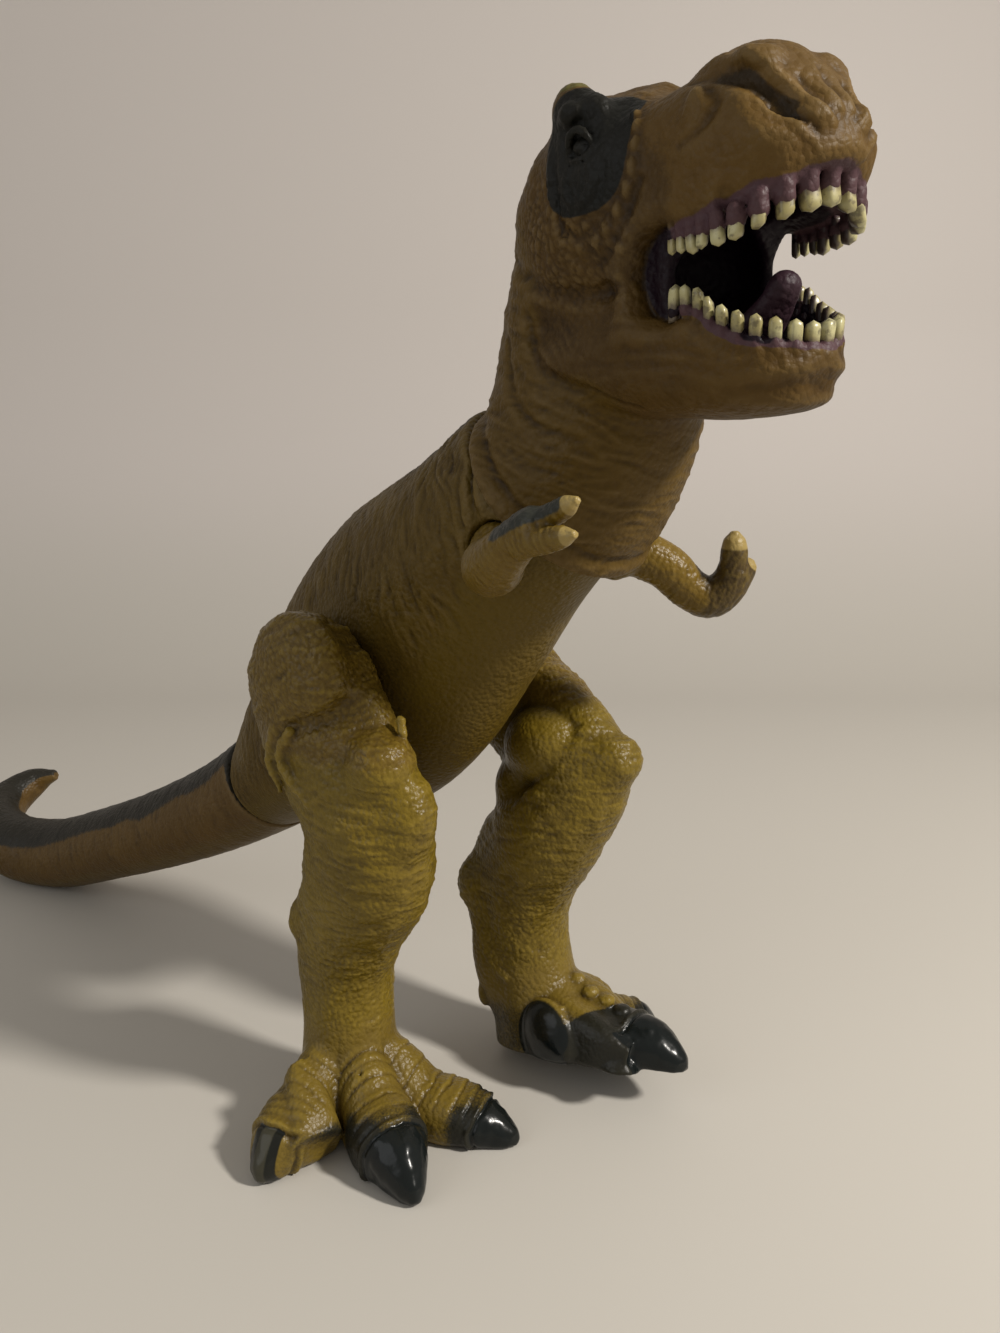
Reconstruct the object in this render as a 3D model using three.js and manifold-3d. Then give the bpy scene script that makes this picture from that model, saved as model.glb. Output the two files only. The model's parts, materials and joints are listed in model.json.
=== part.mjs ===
// A large toy theropod in soft vinyl: hollow mouldings that swivel on hard spools.
// Millimetres, +X towards the snout, +Y to the animal's left, +Z up.
// The origin lies on the floor, at the centre of the right sole.
import * as THREE from 'three';
import { mergeVertices } from 'three/addons/utils/BufferGeometryUtils.js';
import Module from 'manifold-3d';

const wasm = await Module();
wasm.setup();

const degrees = THREE.MathUtils.degToRad;

// The mouldings
const wall = 3; // the vinyl's thickness
const seamGap = 0.3; // between faces that turn on each other
const stanceHalfWidth = 36; // from the right sole's centre to the mid-plane

// The torso, and where its seams lie
const torsoLength = 200;
const torsoDepth = 100;
const torsoWidth = 80;
const hipPlane = 30; // from the mid-plane to the seat that a thigh turns on
const hipSeatRadius = 34;
const hipClearRadius = 52; // inside it a thigh keeps clear of the belly
const hipForward = -17;
const hipHeight = 152;

// The neck rises from a round seam, its spool tilted above level
const neckRadius = 30;
const neckForward = 54;
const neckHeight = 219;
const neckTilt = degrees(42.5);
const neckLength = 60;

// The head, with the jaws moulded open
const headLength = 100;
const headDepth = 60;
const headWidth = 56;
const headForward = 48;
const headHeight = 290;
const headYaw = degrees(-10); // turned to its own right
const jawDepth = 40;
const browRadius = 9;
const tongueThickness = 4.5;
const toothHeight = 5.5;
const toothRoot = 2.5; // how deep a tooth sits in its lip
const toothRadius = 2.2;
const toothTaper = 0.6;
const toothPitch = 5.3;
const toothSides = 6;
const cornerToothShare = 0.7; // the size of the rearmost teeth

// The tail leans back from its round seam
const tailForward = -118;
const tailHeight = 91;
const tailTilt = degrees(36);
const tailRadius = 25;
const tailLength = 300;

// The arms
const shoulderPlane = 22; // from the mid-plane to an arm's seat
const shoulderForward = 54;
const shoulderHeight = 203;
const armLength = 45;
const armRadius = 8;
const fingerRadius = 3;
const shoulderSeatRadius = 11;

// The legs, measured as they stand
const legHeight = 150;
const legBreadth = 50; // front to back at the calf
const legWidth = 48;
const legWall = 4.5; // a leg carries the weight on a thicker wall
const stepSwing = degrees(8); // the stepping leg's swing about the hip
const stepLift = 3.2; // how far the middle of the stepping foot's sole is drawn up
const stepRoll = degrees(14); // that foot rolls onto its outer edge
const stepPitch = degrees(4); // and lifts its toes
const stepForward = 16; // how far that foot stands ahead of the other in its mould
const spurRadius = 5;
const ankleBack = 14; // from the sole's centre to the ankle
const toeLength = 60;
const toeHeight = 28;
const toeWidth = 26;

// The spools that hold two mouldings together
const spoolPlay = 0.3;
const spoolRoom = 1; // around a flange inside a moulding
const bossDepth = 12; // how far a seat's boss, or the room behind it, reaches into the torso
const limbSpool = { shaft: 6, flange: 10, thickness: 2.5 };
const armSpool = { shaft: 2.6, flange: 4.6, thickness: 1.6 };
const armPocketStart = 2.5; // from the seat to the pocket that takes the arm spool's flange

const cutOverrun = 60;
const floorSize = 1000;
const weldDistance = 1e-4; // points closer than this are one

// Rows of shares: forward, height, half depths above and below, half width
const torsoShares = [
  [-0.600, 0.440, 0.210, 0.210, 0.270],
  [-0.480, 0.530, 0.310, 0.290, 0.325],
  [-0.350, 0.635, 0.410, 0.430, 0.360],
  [-0.200, 0.755, 0.490, 0.510, 0.372],
  [-0.060, 0.875, 0.470, 0.500, 0.372],
  [0.070, 0.975, 0.390, 0.410, 0.372],
  [0.180, 1.060, 0.330, 0.330, 0.365],
  [0.290, 1.140, 0.310, 0.290, 0.350],
];

// Rows of shares: forward, up, half depths behind and in front, half width
const neckShares = [
  [-0.100, -0.090, 1.000, 1.000, 1.000],
  [0.090, 0.100, 1.040, 1.000, 0.980],
  [0.230, 0.340, 1.120, 1.000, 0.900],
  [0.300, 0.620, 1.140, 0.990, 0.840],
  [0.330, 0.900, 1.100, 0.940, 0.800],
  [0.330, 1.200, 0.900, 0.780, 0.700],
  [0.360, 1.360, 0.400, 0.400, 0.350],
];

// Rows of shares of the skull with its upper jaw: forward, up, half depths above and below, half width
const skullShares = [
  [0.070, -0.030, 0.10, 0.13, 0.14],
  [0.090, -0.020, 0.24, 0.28, 0.26],
  [0.160, 0.000, 0.36, 0.40, 0.36],
  [0.270, 0.020, 0.44, 0.42, 0.43],
  [0.390, 0.040, 0.44, 0.44, 0.43],
  [0.520, 0.055, 0.40, 0.44, 0.42],
  [0.640, 0.065, 0.36, 0.42, 0.41],
  [0.760, 0.065, 0.33, 0.34, 0.40],
  [0.880, 0.060, 0.30, 0.28, 0.36],
  [0.960, 0.055, 0.24, 0.25, 0.28],
  [1.000, 0.050, 0.15, 0.20, 0.18],
  [1.005, 0.050, 0.05, 0.07, 0.06],
];

// Rows of shares of the lower jaw, laid out as the skull's
const jawShares = [
  [0.120, -0.240, 0.48, 0.35, 0.38],
  [0.320, -0.290, 0.46, 0.33, 0.44],
  [0.500, -0.345, 0.42, 0.34, 0.43],
  [0.620, -0.370, 0.38, 0.31, 0.42],
  [0.740, -0.385, 0.28, 0.29, 0.39],
  [0.860, -0.405, 0.23, 0.24, 0.35],
  [0.940, -0.415, 0.20, 0.20, 0.28],
  [0.985, -0.415, 0.14, 0.13, 0.17],
  [0.990, -0.415, 0.05, 0.05, 0.06],
];

// Rows of shares of the mouth's hollow between the jaws, laid out as the skull's
const mouthShares = [
  [0.600, -0.195, 0.06, 0.06, 0.24],
  [0.615, -0.200, 0.18, 0.16, 0.34],
  [0.700, -0.205, 0.27, 0.23, 0.36],
  [0.800, -0.205, 0.29, 0.27, 0.33],
  [0.890, -0.205, 0.27, 0.28, 0.27],
  [0.940, -0.205, 0.22, 0.24, 0.18],
];

// Rows of shares of the hollow in the skull, laid out as the skull's
const skullHollowShares = [
  [0.180, -0.020, 0.20, 0.20, 0.22],
  [0.300, 0.030, 0.34, 0.20, 0.34],
  [0.500, 0.090, 0.28, 0.10, 0.33],
  [0.700, 0.110, 0.20, 0.06, 0.30],
  [0.840, 0.100, 0.14, 0.05, 0.22],
];

// Points of shares where the teeth stand, from the corner of the mouth to the front
const upperLipShares = [
  [0.640, 0.375, -0.165],
  [0.700, 0.375, -0.145],
  [0.800, 0.355, -0.120],
  [0.890, 0.310, -0.105],
  [0.960, 0.210, -0.095],
  [0.985, 0.000, -0.090],
];
const lowerLipShares = [
  [0.640, 0.375, -0.245],
  [0.720, 0.365, -0.275],
  [0.820, 0.335, -0.305],
  [0.900, 0.270, -0.330],
  [0.945, 0.160, -0.340],
  [0.960, 0.000, -0.343],
];

// Rows of shares of the tongue, which lifts its tip: forward, up, half thickness, half width
const tongueShares = [
  [0.560, -0.270, 0.9, 0.16],
  [0.660, -0.310, 1.0, 0.17],
  [0.740, -0.330, 1.0, 0.16],
  [0.800, -0.310, 0.9, 0.14],
  [0.850, -0.275, 0.7, 0.11],
  [0.862, -0.248, 0.4, 0.06],
];

// The brow's ridge over the eye: its place on the head, and its shape along, across and up
const browPlaceShares = [0.350, 0.310, 0.190];
const browShapeShares = [1.50, 0.80, 0.95];

// Rows of shares: forward, to the left, up, radius
const tailShares = [
  [0.080, 0.000, 0.050, 0.98],
  [0.000, 0.000, 0.000, 0.93],
  [-0.090, -0.027, -0.057, 0.84],
  [-0.210, -0.060, -0.117, 0.78],
  [-0.360, -0.100, -0.180, 0.74],
  [-0.530, -0.147, -0.240, 0.73],
  [-0.635, -0.190, -0.244, 0.68],
  [-0.725, -0.195, -0.222, 0.58],
  [-0.775, -0.150, -0.200, 0.46],
  [-0.775, -0.100, -0.175, 0.32],
  [-0.745, -0.070, -0.160, 0.12],
];

// Rows of shares: forward, outward, height, half depths in front and behind, half width
const standingLegShares = [
  [-0.150, 0.10, 1.200, 0.12, 0.12, 0.10],
  [-0.150, 0.10, 1.170, 0.34, 0.34, 0.26],
  [-0.135, 0.10, 1.080, 0.50, 0.50, 0.40],
  [-0.080, 0.10, 0.980, 0.54, 0.56, 0.42],
  [-0.020, 0.08, 0.880, 0.55, 0.53, 0.40],
  [0.025, 0.05, 0.770, 0.53, 0.43, 0.40],
  [0.005, 0.00, 0.650, 0.52, 0.42, 0.42],
  [-0.050, 0.00, 0.510, 0.42, 0.40, 0.38],
  [-0.080, 0.00, 0.380, 0.34, 0.38, 0.34],
  [-0.080, 0.00, 0.240, 0.33, 0.34, 0.33],
  [-0.080, 0.00, 0.110, 0.36, 0.38, 0.36],
  [-0.080, 0.00, -0.020, 0.40, 0.42, 0.40],
];

const steppingLegShares = [
  [-0.150, 0.10, 1.190, 0.12, 0.12, 0.10],
  [-0.150, 0.10, 1.160, 0.30, 0.32, 0.26],
  [-0.120, 0.10, 1.070, 0.38, 0.48, 0.38],
  [-0.050, 0.10, 0.970, 0.38, 0.54, 0.38],
  [0.030, 0.08, 0.860, 0.53, 0.45, 0.38],
  [0.080, 0.05, 0.750, 0.69, 0.31, 0.40],
  [0.060, 0.00, 0.620, 0.57, 0.43, 0.42],
  [-0.010, 0.00, 0.490, 0.36, 0.54, 0.38],
  [-0.050, 0.00, 0.380, 0.30, 0.48, 0.35],
  [-0.050, 0.00, 0.260, 0.30, 0.37, 0.33],
  [-0.040, 0.00, 0.130, 0.36, 0.38, 0.36],
  [-0.020, 0.00, 0.000, 0.40, 0.42, 0.40],
  [-0.010, 0.00, -0.080, 0.41, 0.42, 0.41],
];

// The spur behind the hock: its place forward and up the leg, and its shape along, across and up
const spurPlaceShares = [-0.190, 0.395];
const spurShapeShares = [0.9, 1.3, 1.8];

// Rows of shares of a toe with its claw: along, height of its middle, half heights above and below,
// half width
const toeShares = [
  [0.000, 0.55, 0.70, 0.60, 0.40],
  [0.240, 0.50, 0.65, 0.50, 0.42],
  [0.460, 0.36, 0.50, 0.38, 0.45],
  [0.620, 0.34, 0.45, 0.36, 0.48],
  [0.760, 0.30, 0.40, 0.30, 0.42],
  [0.880, 0.20, 0.28, 0.20, 0.30],
  [0.970, 0.10, 0.16, 0.10, 0.16],
  [1.000, 0.06, 0.06, 0.04, 0.06],
];

// Each toe: its angle outward from straight ahead, in degrees, and its share of the toe's length
const standingToes = { outer: [70, 0.83], middle: [15, 1.02], inner: [-25, 1.10] };
const steppingToes = { outer: [64, 0.70], middle: [12, 0.89], inner: [-30, 0.43] };

// Rows of shares: forward, outward, up, radius
const rightArmShares = [
  [0.00, -0.20, 0.00, 0.95],
  [0.00, 0.00, 0.00, 0.95],
  [0.10, 0.20, -0.02, 0.98],
  [0.27, 0.36, -0.01, 1.00],
  [0.46, 0.48, 0.06, 0.86],
  [0.67, 0.54, 0.18, 0.70],
  [0.85, 0.56, 0.27, 0.66],
  [0.93, 0.56, 0.31, 0.30],
];

const leftArmShares = [
  [0.00, -0.20, 0.00, 0.95],
  [0.00, 0.00, 0.00, 0.95],
  [0.10, 0.20, -0.04, 0.95],
  [0.25, 0.36, -0.14, 0.90],
  [0.35, 0.51, -0.31, 0.80],
  [0.47, 0.62, -0.38, 0.76],
  [0.58, 0.68, -0.29, 0.70],
  [0.62, 0.69, -0.15, 0.60],
  [0.63, 0.69, -0.09, 0.30],
];

// Each finger: its root and its tip, as forward, outward and up shares of the arm
const rightFingerShares = [
  [[0.79, 0.54, 0.26], [1.14, 0.56, 0.42]],
  [[0.77, 0.62, 0.20], [1.07, 0.72, 0.28]],
];

const leftFingerShares = [
  [[0.61, 0.66, -0.18], [0.62, 0.64, 0.12]],
  [[0.61, 0.74, -0.22], [0.67, 0.79, -0.08]],
];

// Rows of shares of a finger: along, radius
const fingerShares = [
  [0.0, 1.0],
  [0.4, 1.0],
  [0.8, 0.8],
  [1.0, 0.3],
];

const toLeft = new THREE.Vector3(0, 1, 0);
const toRight = new THREE.Vector3(0, -1, 0);
const upward = new THREE.Vector3(0, 0, 1);

function matte(name, colour, roughness) {
  return new THREE.MeshStandardMaterial({ name, color: colour, roughness, metalness: 0 });
}

// A smooth value between the rows of a table, passing through each of them
function between(values, share) {
  const place = share * (values.length - 1);
  const index = Math.min(Math.floor(place), values.length - 2);
  const at = (k) => values[THREE.MathUtils.clamp(k, 0, values.length - 1)];
  const [before, from, to, after] = [at(index - 1), at(index), at(index + 1), at(index + 2)];
  const t = place - index;
  const slope = (to - before) / 2;
  const bend = before - 2.5 * from + 2 * to - after / 2;
  const twist = 1.5 * (from - to) + (after - before) / 2;
  return from + t * (slope + t * (bend + t * twist));
}

// A closed skin over rounded sections that stand square to a smooth path. A station holds
// its middle and its half sizes up, down and to each side. The section's upper and lower
// halves are superellipses of their own squareness. A hollow's skin is thinner by the wall,
// and may skip rows at either end.
function loft(stations, { perRow, sides, side, squareUp = 2, squareDown = 2, thinner = 0, skip = [0, 0] }) {
  const rows = stations.length - 1;
  const [from, to] = [skip[0] / rows, 1 - skip[1] / rows];
  const rings = perRow * (rows - skip[0] - skip[1]);
  const path = new THREE.CatmullRomCurve3(stations.map((station) => station.middle), false, 'centripetal');
  const spread = (key, share) => {
    const size = between(stations.map((station) => station[key]), share);
    return Math.max(size - thinner, wall / 4);
  };
  const points = [];
  for (let ring = 0; ring <= rings; ring += 1) {
    const share = from + ((to - from) * ring) / rings;
    const middle = path.getPoint(share);
    const ahead = path.getTangent(share);
    const across = side.clone().addScaledVector(ahead, -side.dot(ahead)).normalize();
    const up = new THREE.Vector3().crossVectors(ahead, across);
    for (let k = 0; k < sides; k += 1) {
      const angle = (k / sides) * 2 * Math.PI;
      const [c, s] = [Math.cos(angle), Math.sin(angle)];
      const power = 2 / (s > 0 ? squareUp : squareDown);
      const wide = spread('wide', share) * Math.sign(c) * Math.abs(c) ** power;
      const tall = spread(s > 0 ? 'up' : 'down', share) * Math.sign(s) * Math.abs(s) ** power;
      points.push(middle.clone().addScaledVector(across, wide).addScaledVector(up, tall));
    }
  }
  points.push(path.getPoint(from), path.getPoint(to));
  const faces = [];
  const [start, end] = [points.length - 2, points.length - 1];
  const last = rings * sides;
  for (let k = 0; k < sides; k += 1) {
    const next = (k + 1) % sides;
    for (let low = 0; low < last; low += sides) {
      const high = low + sides;
      faces.push(low + k, low + next, high + next, low + k, high + next, high + k);
    }
    faces.push(start, next, k);
    faces.push(end, last + k, last + next);
  }
  const geometry = new THREE.BufferGeometry();
  const coordinates = points.flatMap((point) => [point.x, point.y, point.z]);
  geometry.setAttribute('position', new THREE.Float32BufferAttribute(coordinates, 3));
  geometry.setIndex(faces);
  return geometry;
}

// Solids for joining and cutting
function toSolid(geometry) {
  const bare = geometry.index ? geometry.toNonIndexed() : geometry.clone();
  for (const name of Object.keys(bare.attributes)) {
    if (name !== 'position') bare.deleteAttribute(name);
  }
  const welded = mergeVertices(bare, weldDistance);
  return new wasm.Manifold(new wasm.Mesh({
    numProp: 3,
    vertProperties: new Float32Array(welded.attributes.position.array),
    triVerts: new Uint32Array(welded.index.array),
  }));
}

function toGeometry(solid) {
  const mesh = solid.getMesh();
  const geometry = new THREE.BufferGeometry();
  geometry.setAttribute('position', new THREE.BufferAttribute(new Float32Array(mesh.vertProperties), 3));
  geometry.setIndex(new THREE.BufferAttribute(new Uint32Array(mesh.triVerts), 1));
  geometry.computeVertexNormals();
  return geometry;
}

// A seam: a point on it, and the direction of its spool's axis out of the torso
const seams = {
  neck: {
    point: new THREE.Vector3(neckForward, 0, neckHeight),
    out: new THREE.Vector3(Math.cos(neckTilt), 0, Math.sin(neckTilt)),
  },
  tail: {
    point: new THREE.Vector3(tailForward, 0, tailHeight),
    out: new THREE.Vector3(-Math.cos(tailTilt), 0, -Math.sin(tailTilt)),
  },
  rightHip: { point: new THREE.Vector3(hipForward, -hipPlane, hipHeight), out: toRight },
  leftHip: { point: new THREE.Vector3(hipForward, hipPlane, hipHeight), out: toLeft },
  rightShoulder: { point: new THREE.Vector3(shoulderForward, -shoulderPlane, shoulderHeight), out: toRight },
  leftShoulder: { point: new THREE.Vector3(shoulderForward, shoulderPlane, shoulderHeight), out: toLeft },
};

// A round bar along a seam's axis, from one distance out of the seam to another
function bar(seam, radius, from, to, segments = 24) {
  const geometry = new THREE.CylinderGeometry(radius, radius, to - from, segments);
  geometry.translate(0, (from + to) / 2, 0);
  geometry.applyQuaternion(new THREE.Quaternion().setFromUnitVectors(new THREE.Vector3(0, 1, 0), seam.out));
  geometry.translate(seam.point.x, seam.point.y, seam.point.z);
  return toSolid(geometry);
}

// A spool: a flange inside each moulding and a shaft through both walls
function spool(seam, size, inside, outside) {
  const profile = [
    [0, -inside - size.thickness], [size.flange, -inside - size.thickness], [size.flange, -inside],
    [size.shaft, -inside], [size.shaft, outside], [size.flange, outside],
    [size.flange, outside + size.thickness], [0, outside + size.thickness],
  ];
  const geometry = new THREE.LatheGeometry(profile.map(([x, y]) => new THREE.Vector2(x, y)), 16);
  geometry.applyQuaternion(new THREE.Quaternion().setFromUnitVectors(new THREE.Vector3(0, 1, 0), seam.out));
  geometry.translate(seam.point.x, seam.point.y, seam.point.z);
  return toGeometry(toSolid(geometry));
}

const model = new THREE.Group();

function addMesh(name, geometry, material) {
  const mesh = new THREE.Mesh(geometry, material);
  mesh.name = name;
  model.add(mesh);
}

function torsoSkin(shape) {
  const stations = torsoShares.map(([x, z, up, down, wide]) => ({
    middle: new THREE.Vector3(x * torsoLength, 0, z * torsoLength),
    up: up * torsoDepth,
    down: down * torsoDepth,
    wide: wide * torsoWidth,
  }));
  return toSolid(loft(stations, { side: toLeft, ...shape }));
}

function torso() {
  let shell = torsoSkin({ perRow: 2, sides: 24 });
  let hollow = torsoSkin({ perRow: 1, sides: 16, thinner: wall });
  for (const name of ['rightHip', 'leftHip']) {
    shell = shell.add(bar(seams[name], limbSpool.flange + spoolRoom + wall, -bossDepth, 0));
  }
  for (const name of ['rightShoulder', 'leftShoulder']) {
    shell = shell.add(bar(seams[name], armRadius, -bossDepth, 0));
  }
  for (const name of ['neck', 'tail']) {
    shell = shell.subtract(bar(seams[name], cutOverrun, 0, cutOverrun));
    hollow = hollow.subtract(bar(seams[name], cutOverrun, -wall, cutOverrun));
  }
  for (const name of ['rightHip', 'leftHip', 'rightShoulder', 'leftShoulder']) {
    const reach = name.endsWith('Hip') ? hipSeatRadius : shoulderSeatRadius;
    shell = shell.subtract(bar(seams[name], reach, 0, cutOverrun));
    hollow = hollow.subtract(bar(seams[name], reach + wall, -wall, cutOverrun));
  }
  for (const [name, seam] of Object.entries(seams)) {
    const size = name.endsWith('Shoulder') ? armSpool : limbSpool;
    hollow = hollow.add(bar(seam, size.flange + spoolRoom, -bossDepth, -wall));
  }
  shell = shell.subtract(hollow);
  for (const [name, seam] of Object.entries(seams)) {
    const size = name.endsWith('Shoulder') ? armSpool : limbSpool;
    shell = shell.subtract(bar(seam, size.shaft + spoolPlay, -2 * wall, wall));
  }
  return toGeometry(shell);
}

function neckSkin(shape) {
  const stations = neckShares.map(([x, z, back, front, wide]) => ({
    middle: new THREE.Vector3(neckForward + x * neckLength, 0, neckHeight + z * neckLength),
    up: back * neckRadius,
    down: front * neckRadius,
    wide: wide * neckRadius,
  }));
  return toSolid(loft(stations, { side: toLeft, ...shape }));
}

// The head's own forms are laid out along +X from the back of the skull
function placeHead(geometry) {
  geometry.rotateZ(headYaw);
  geometry.translate(headForward, 0, headHeight);
  return toSolid(geometry);
}

function headForm(shares, depth, shape) {
  const stations = shares.map(([x, z, up, down, wide]) => ({
    middle: new THREE.Vector3(x * headLength, 0, z * headLength),
    up: up * depth,
    down: down * depth,
    wide: wide * headWidth,
  }));
  return placeHead(loft(stations, { side: toLeft, ...shape }));
}

function tongue() {
  const stations = tongueShares.map(([x, z, thick, wide]) => ({
    middle: new THREE.Vector3(x * headLength, 0, z * headLength),
    up: thick * tongueThickness,
    down: thick * tongueThickness,
    wide: wide * headWidth,
  }));
  return placeHead(loft(stations, { perRow: 2, sides: 10, side: toLeft }));
}

// Teeth stand a pitch apart along a lip that is mirrored across the head
function teeth(shares, pointing) {
  const half = shares.map(([x, y, z]) => new THREE.Vector3(x * headLength, y * headWidth, z * headLength));
  const other = half.slice(0, -1).reverse().map((point) => new THREE.Vector3(point.x, -point.y, point.z));
  const lip = new THREE.CatmullRomCurve3([...half, ...other]);
  const count = Math.floor(lip.getLength() / toothPitch);
  const row = [];
  for (let k = 0; k <= count; k += 1) {
    const point = lip.getPointAt(k / count);
    const size = THREE.MathUtils.lerp(cornerToothShare, 1, Math.sin((Math.PI * k) / count));
    const tall = toothHeight * size + toothRoot;
    const root = toothRadius * size;
    const tooth = new THREE.CylinderGeometry(root * toothTaper, root, tall, toothSides);
    tooth.translate(0, tall / 2 - toothRoot, 0);
    tooth.rotateX((pointing * Math.PI) / 2);
    tooth.translate(point.x, point.y, point.z);
    row.push(placeHead(tooth));
  }
  return row;
}

function brow(hand) {
  const bump = new THREE.SphereGeometry(browRadius, 12, 8);
  const [forward, outward, up] = browPlaceShares;
  bump.scale(...browShapeShares);
  bump.translate(forward * headLength, hand * outward * headWidth, up * headLength);
  return placeHead(bump);
}

function headAndNeck() {
  let solid = neckSkin({ perRow: 2, sides: 22 });
  solid = solid.subtract(bar(seams.neck, cutOverrun, -cutOverrun, seamGap));
  const skullShape = { perRow: 1, sides: 22, squareUp: 2.1, squareDown: 5 };
  const jawShape = { perRow: 2, sides: 18, squareUp: 5, squareDown: 2.3 };
  solid = solid.add(headForm(skullShares, headDepth, skullShape));
  solid = solid.add(headForm(jawShares, jawDepth, jawShape));
  for (const hand of [1, -1]) solid = solid.add(brow(hand));
  solid = solid.subtract(headForm(mouthShares, headDepth, { perRow: 1, sides: 16 }));
  for (const tooth of teeth(upperLipShares, -1)) solid = solid.add(tooth);
  for (const tooth of teeth(lowerLipShares, 1)) solid = solid.add(tooth);
  solid = solid.add(tongue());
  let hollow = neckSkin({ perRow: 1, sides: 12, thinner: wall, skip: [0, 1] });
  hollow = hollow.add(headForm(skullHollowShares, headDepth, { perRow: 1, sides: 12 }));
  hollow = hollow.subtract(bar(seams.neck, cutOverrun, -cutOverrun, seamGap + wall));
  solid = solid.subtract(hollow);
  solid = solid.subtract(bar(seams.neck, limbSpool.shaft + spoolPlay, -wall, 2 * wall));
  return toGeometry(solid);
}

// What lies under a flat place: a block whose top face passes through a point
function under(x, y, z, roll, pitch) {
  const block = new THREE.BoxGeometry(floorSize, floorSize, floorSize);
  block.translate(0, 0, -floorSize / 2);
  block.rotateY(-pitch);
  block.rotateX(roll);
  block.translate(x, y, z);
  return toSolid(block);
}

function tailSkin(shape) {
  const stations = tailShares.map(([x, y, z, radius]) => ({
    middle: new THREE.Vector3(tailForward + x * tailLength, y * tailLength, tailHeight + z * tailLength),
    up: radius * tailRadius,
    down: radius * tailRadius,
    wide: radius * tailRadius,
  }));
  return toSolid(loft(stations, { side: upward, ...shape }));
}

function tail() {
  let solid = tailSkin({ perRow: 2, sides: 16 });
  solid = solid.subtract(bar(seams.tail, cutOverrun, -cutOverrun, seamGap));
  const hollow = tailSkin({ perRow: 2, sides: 10, thinner: wall, skip: [0, 3] });
  solid = solid.subtract(hollow.subtract(bar(seams.tail, cutOverrun, -cutOverrun, seamGap + wall)));
  solid = solid.subtract(bar(seams.tail, limbSpool.shaft + spoolPlay, -wall, 2 * wall));
  return toGeometry(solid.subtract(under(0, 0, 0, 0, 0)));
}

function legSkin(shares, hand, shape) {
  const stations = shares.map(([x, y, z, front, back, wide]) => ({
    middle: new THREE.Vector3(x * legHeight, -hand * (stanceHalfWidth + y * legWidth), z * legHeight),
    up: front * legBreadth,
    down: back * legBreadth,
    wide: wide * legWidth,
  }));
  return toSolid(loft(stations, { side: toLeft, ...shape }));
}

const standingFoot = { toes: standingToes, tallShare: 1, forward: 0, lift: 0, roll: 0, pitch: 0 };
const steppingFoot = {
  toes: steppingToes,
  tallShare: 0.85,
  forward: stepForward,
  lift: stepLift,
  roll: stepRoll,
  pitch: stepPitch,
};

function toe([angle, share], hand, foot) {
  const stations = toeShares.map(([x, z, up, down, wide]) => ({
    middle: new THREE.Vector3(x * share * toeLength, 0, z * foot.tallShare * toeHeight),
    up: up * foot.tallShare * toeHeight,
    down: down * foot.tallShare * toeHeight,
    wide: wide * toeWidth,
  }));
  const geometry = loft(stations, { perRow: 1, sides: 12, side: toLeft });
  geometry.rotateZ(-hand * degrees(angle));
  geometry.rotateY(-foot.pitch);
  geometry.rotateX(hand * foot.roll);
  geometry.translate(foot.forward - ankleBack, -hand * stanceHalfWidth, foot.lift);
  return toSolid(geometry);
}

function spur(hand) {
  const bump = new THREE.SphereGeometry(spurRadius, 10, 8);
  bump.scale(...spurShapeShares);
  bump.translate(spurPlaceShares[0] * legHeight, -hand * stanceHalfWidth, spurPlaceShares[1] * legHeight);
  return toSolid(bump);
}

function leg(shares, hand, seam, foot, swing) {
  let solid = legSkin(shares, hand, { perRow: 2, sides: 20 });
  solid = solid.add(spur(hand));
  for (const row of Object.values(foot.toes)) solid = solid.add(toe(row, hand, foot));
  const [soleForward, soleLeft] = [foot.forward - ankleBack, -hand * stanceHalfWidth];
  solid = solid.subtract(under(soleForward, soleLeft, foot.lift, hand * foot.roll, foot.pitch));
  solid = solid.subtract(bar(seam, hipClearRadius, -cutOverrun, seamGap, 48));
  const hollow = legSkin(shares, hand, { perRow: 2, sides: 12, thinner: legWall, skip: [2, 2] });
  solid = solid.subtract(hollow.subtract(bar(seam, hipClearRadius + wall, -cutOverrun, seamGap + wall, 48)));
  solid = solid.subtract(bar(seam, limbSpool.flange + spoolRoom, seamGap + wall, bossDepth));
  solid = solid.subtract(bar(seam, limbSpool.shaft + spoolPlay, -wall, 2 * wall));
  const geometry = toGeometry(solid);
  geometry.translate(-hipForward, 0, -hipHeight);
  geometry.rotateY(-swing);
  geometry.translate(hipForward, 0, hipHeight);
  return toGeometry(toSolid(geometry).subtract(under(0, 0, 0, 0, 0)));
}

function arm(shares, fingers, hand, seam) {
  const place = ([x, y, z]) => new THREE.Vector3(
    shoulderForward + x * armLength,
    -hand * (shoulderPlane + y * armLength),
    shoulderHeight + z * armLength,
  );
  const side = new THREE.Vector3(-1, 0, 1).normalize();
  const stations = shares.map(([x, y, z, radius]) => {
    const size = radius * armRadius;
    return { middle: place([x, y, z]), up: size, down: size, wide: size };
  });
  let solid = toSolid(loft(stations, { perRow: 2, sides: 12, side }));
  for (const [root, tip] of fingers) {
    const rows = fingerShares.map(([along, radius]) => {
      const size = radius * fingerRadius;
      return { middle: place(root).lerp(place(tip), along), up: size, down: size, wide: size };
    });
    solid = solid.add(toSolid(loft(rows, { perRow: 2, sides: 8, side })));
  }
  solid = solid.subtract(bar(seam, cutOverrun, -cutOverrun, seamGap));
  const pocketEnd = armPocketStart + armSpool.thickness + 2 * spoolPlay;
  solid = solid.subtract(bar(seam, armSpool.shaft + spoolPlay, -wall, 2 * wall));
  solid = solid.subtract(bar(seam, armSpool.flange + spoolPlay, armPocketStart, pocketEnd));
  return toGeometry(solid);
}

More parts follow.
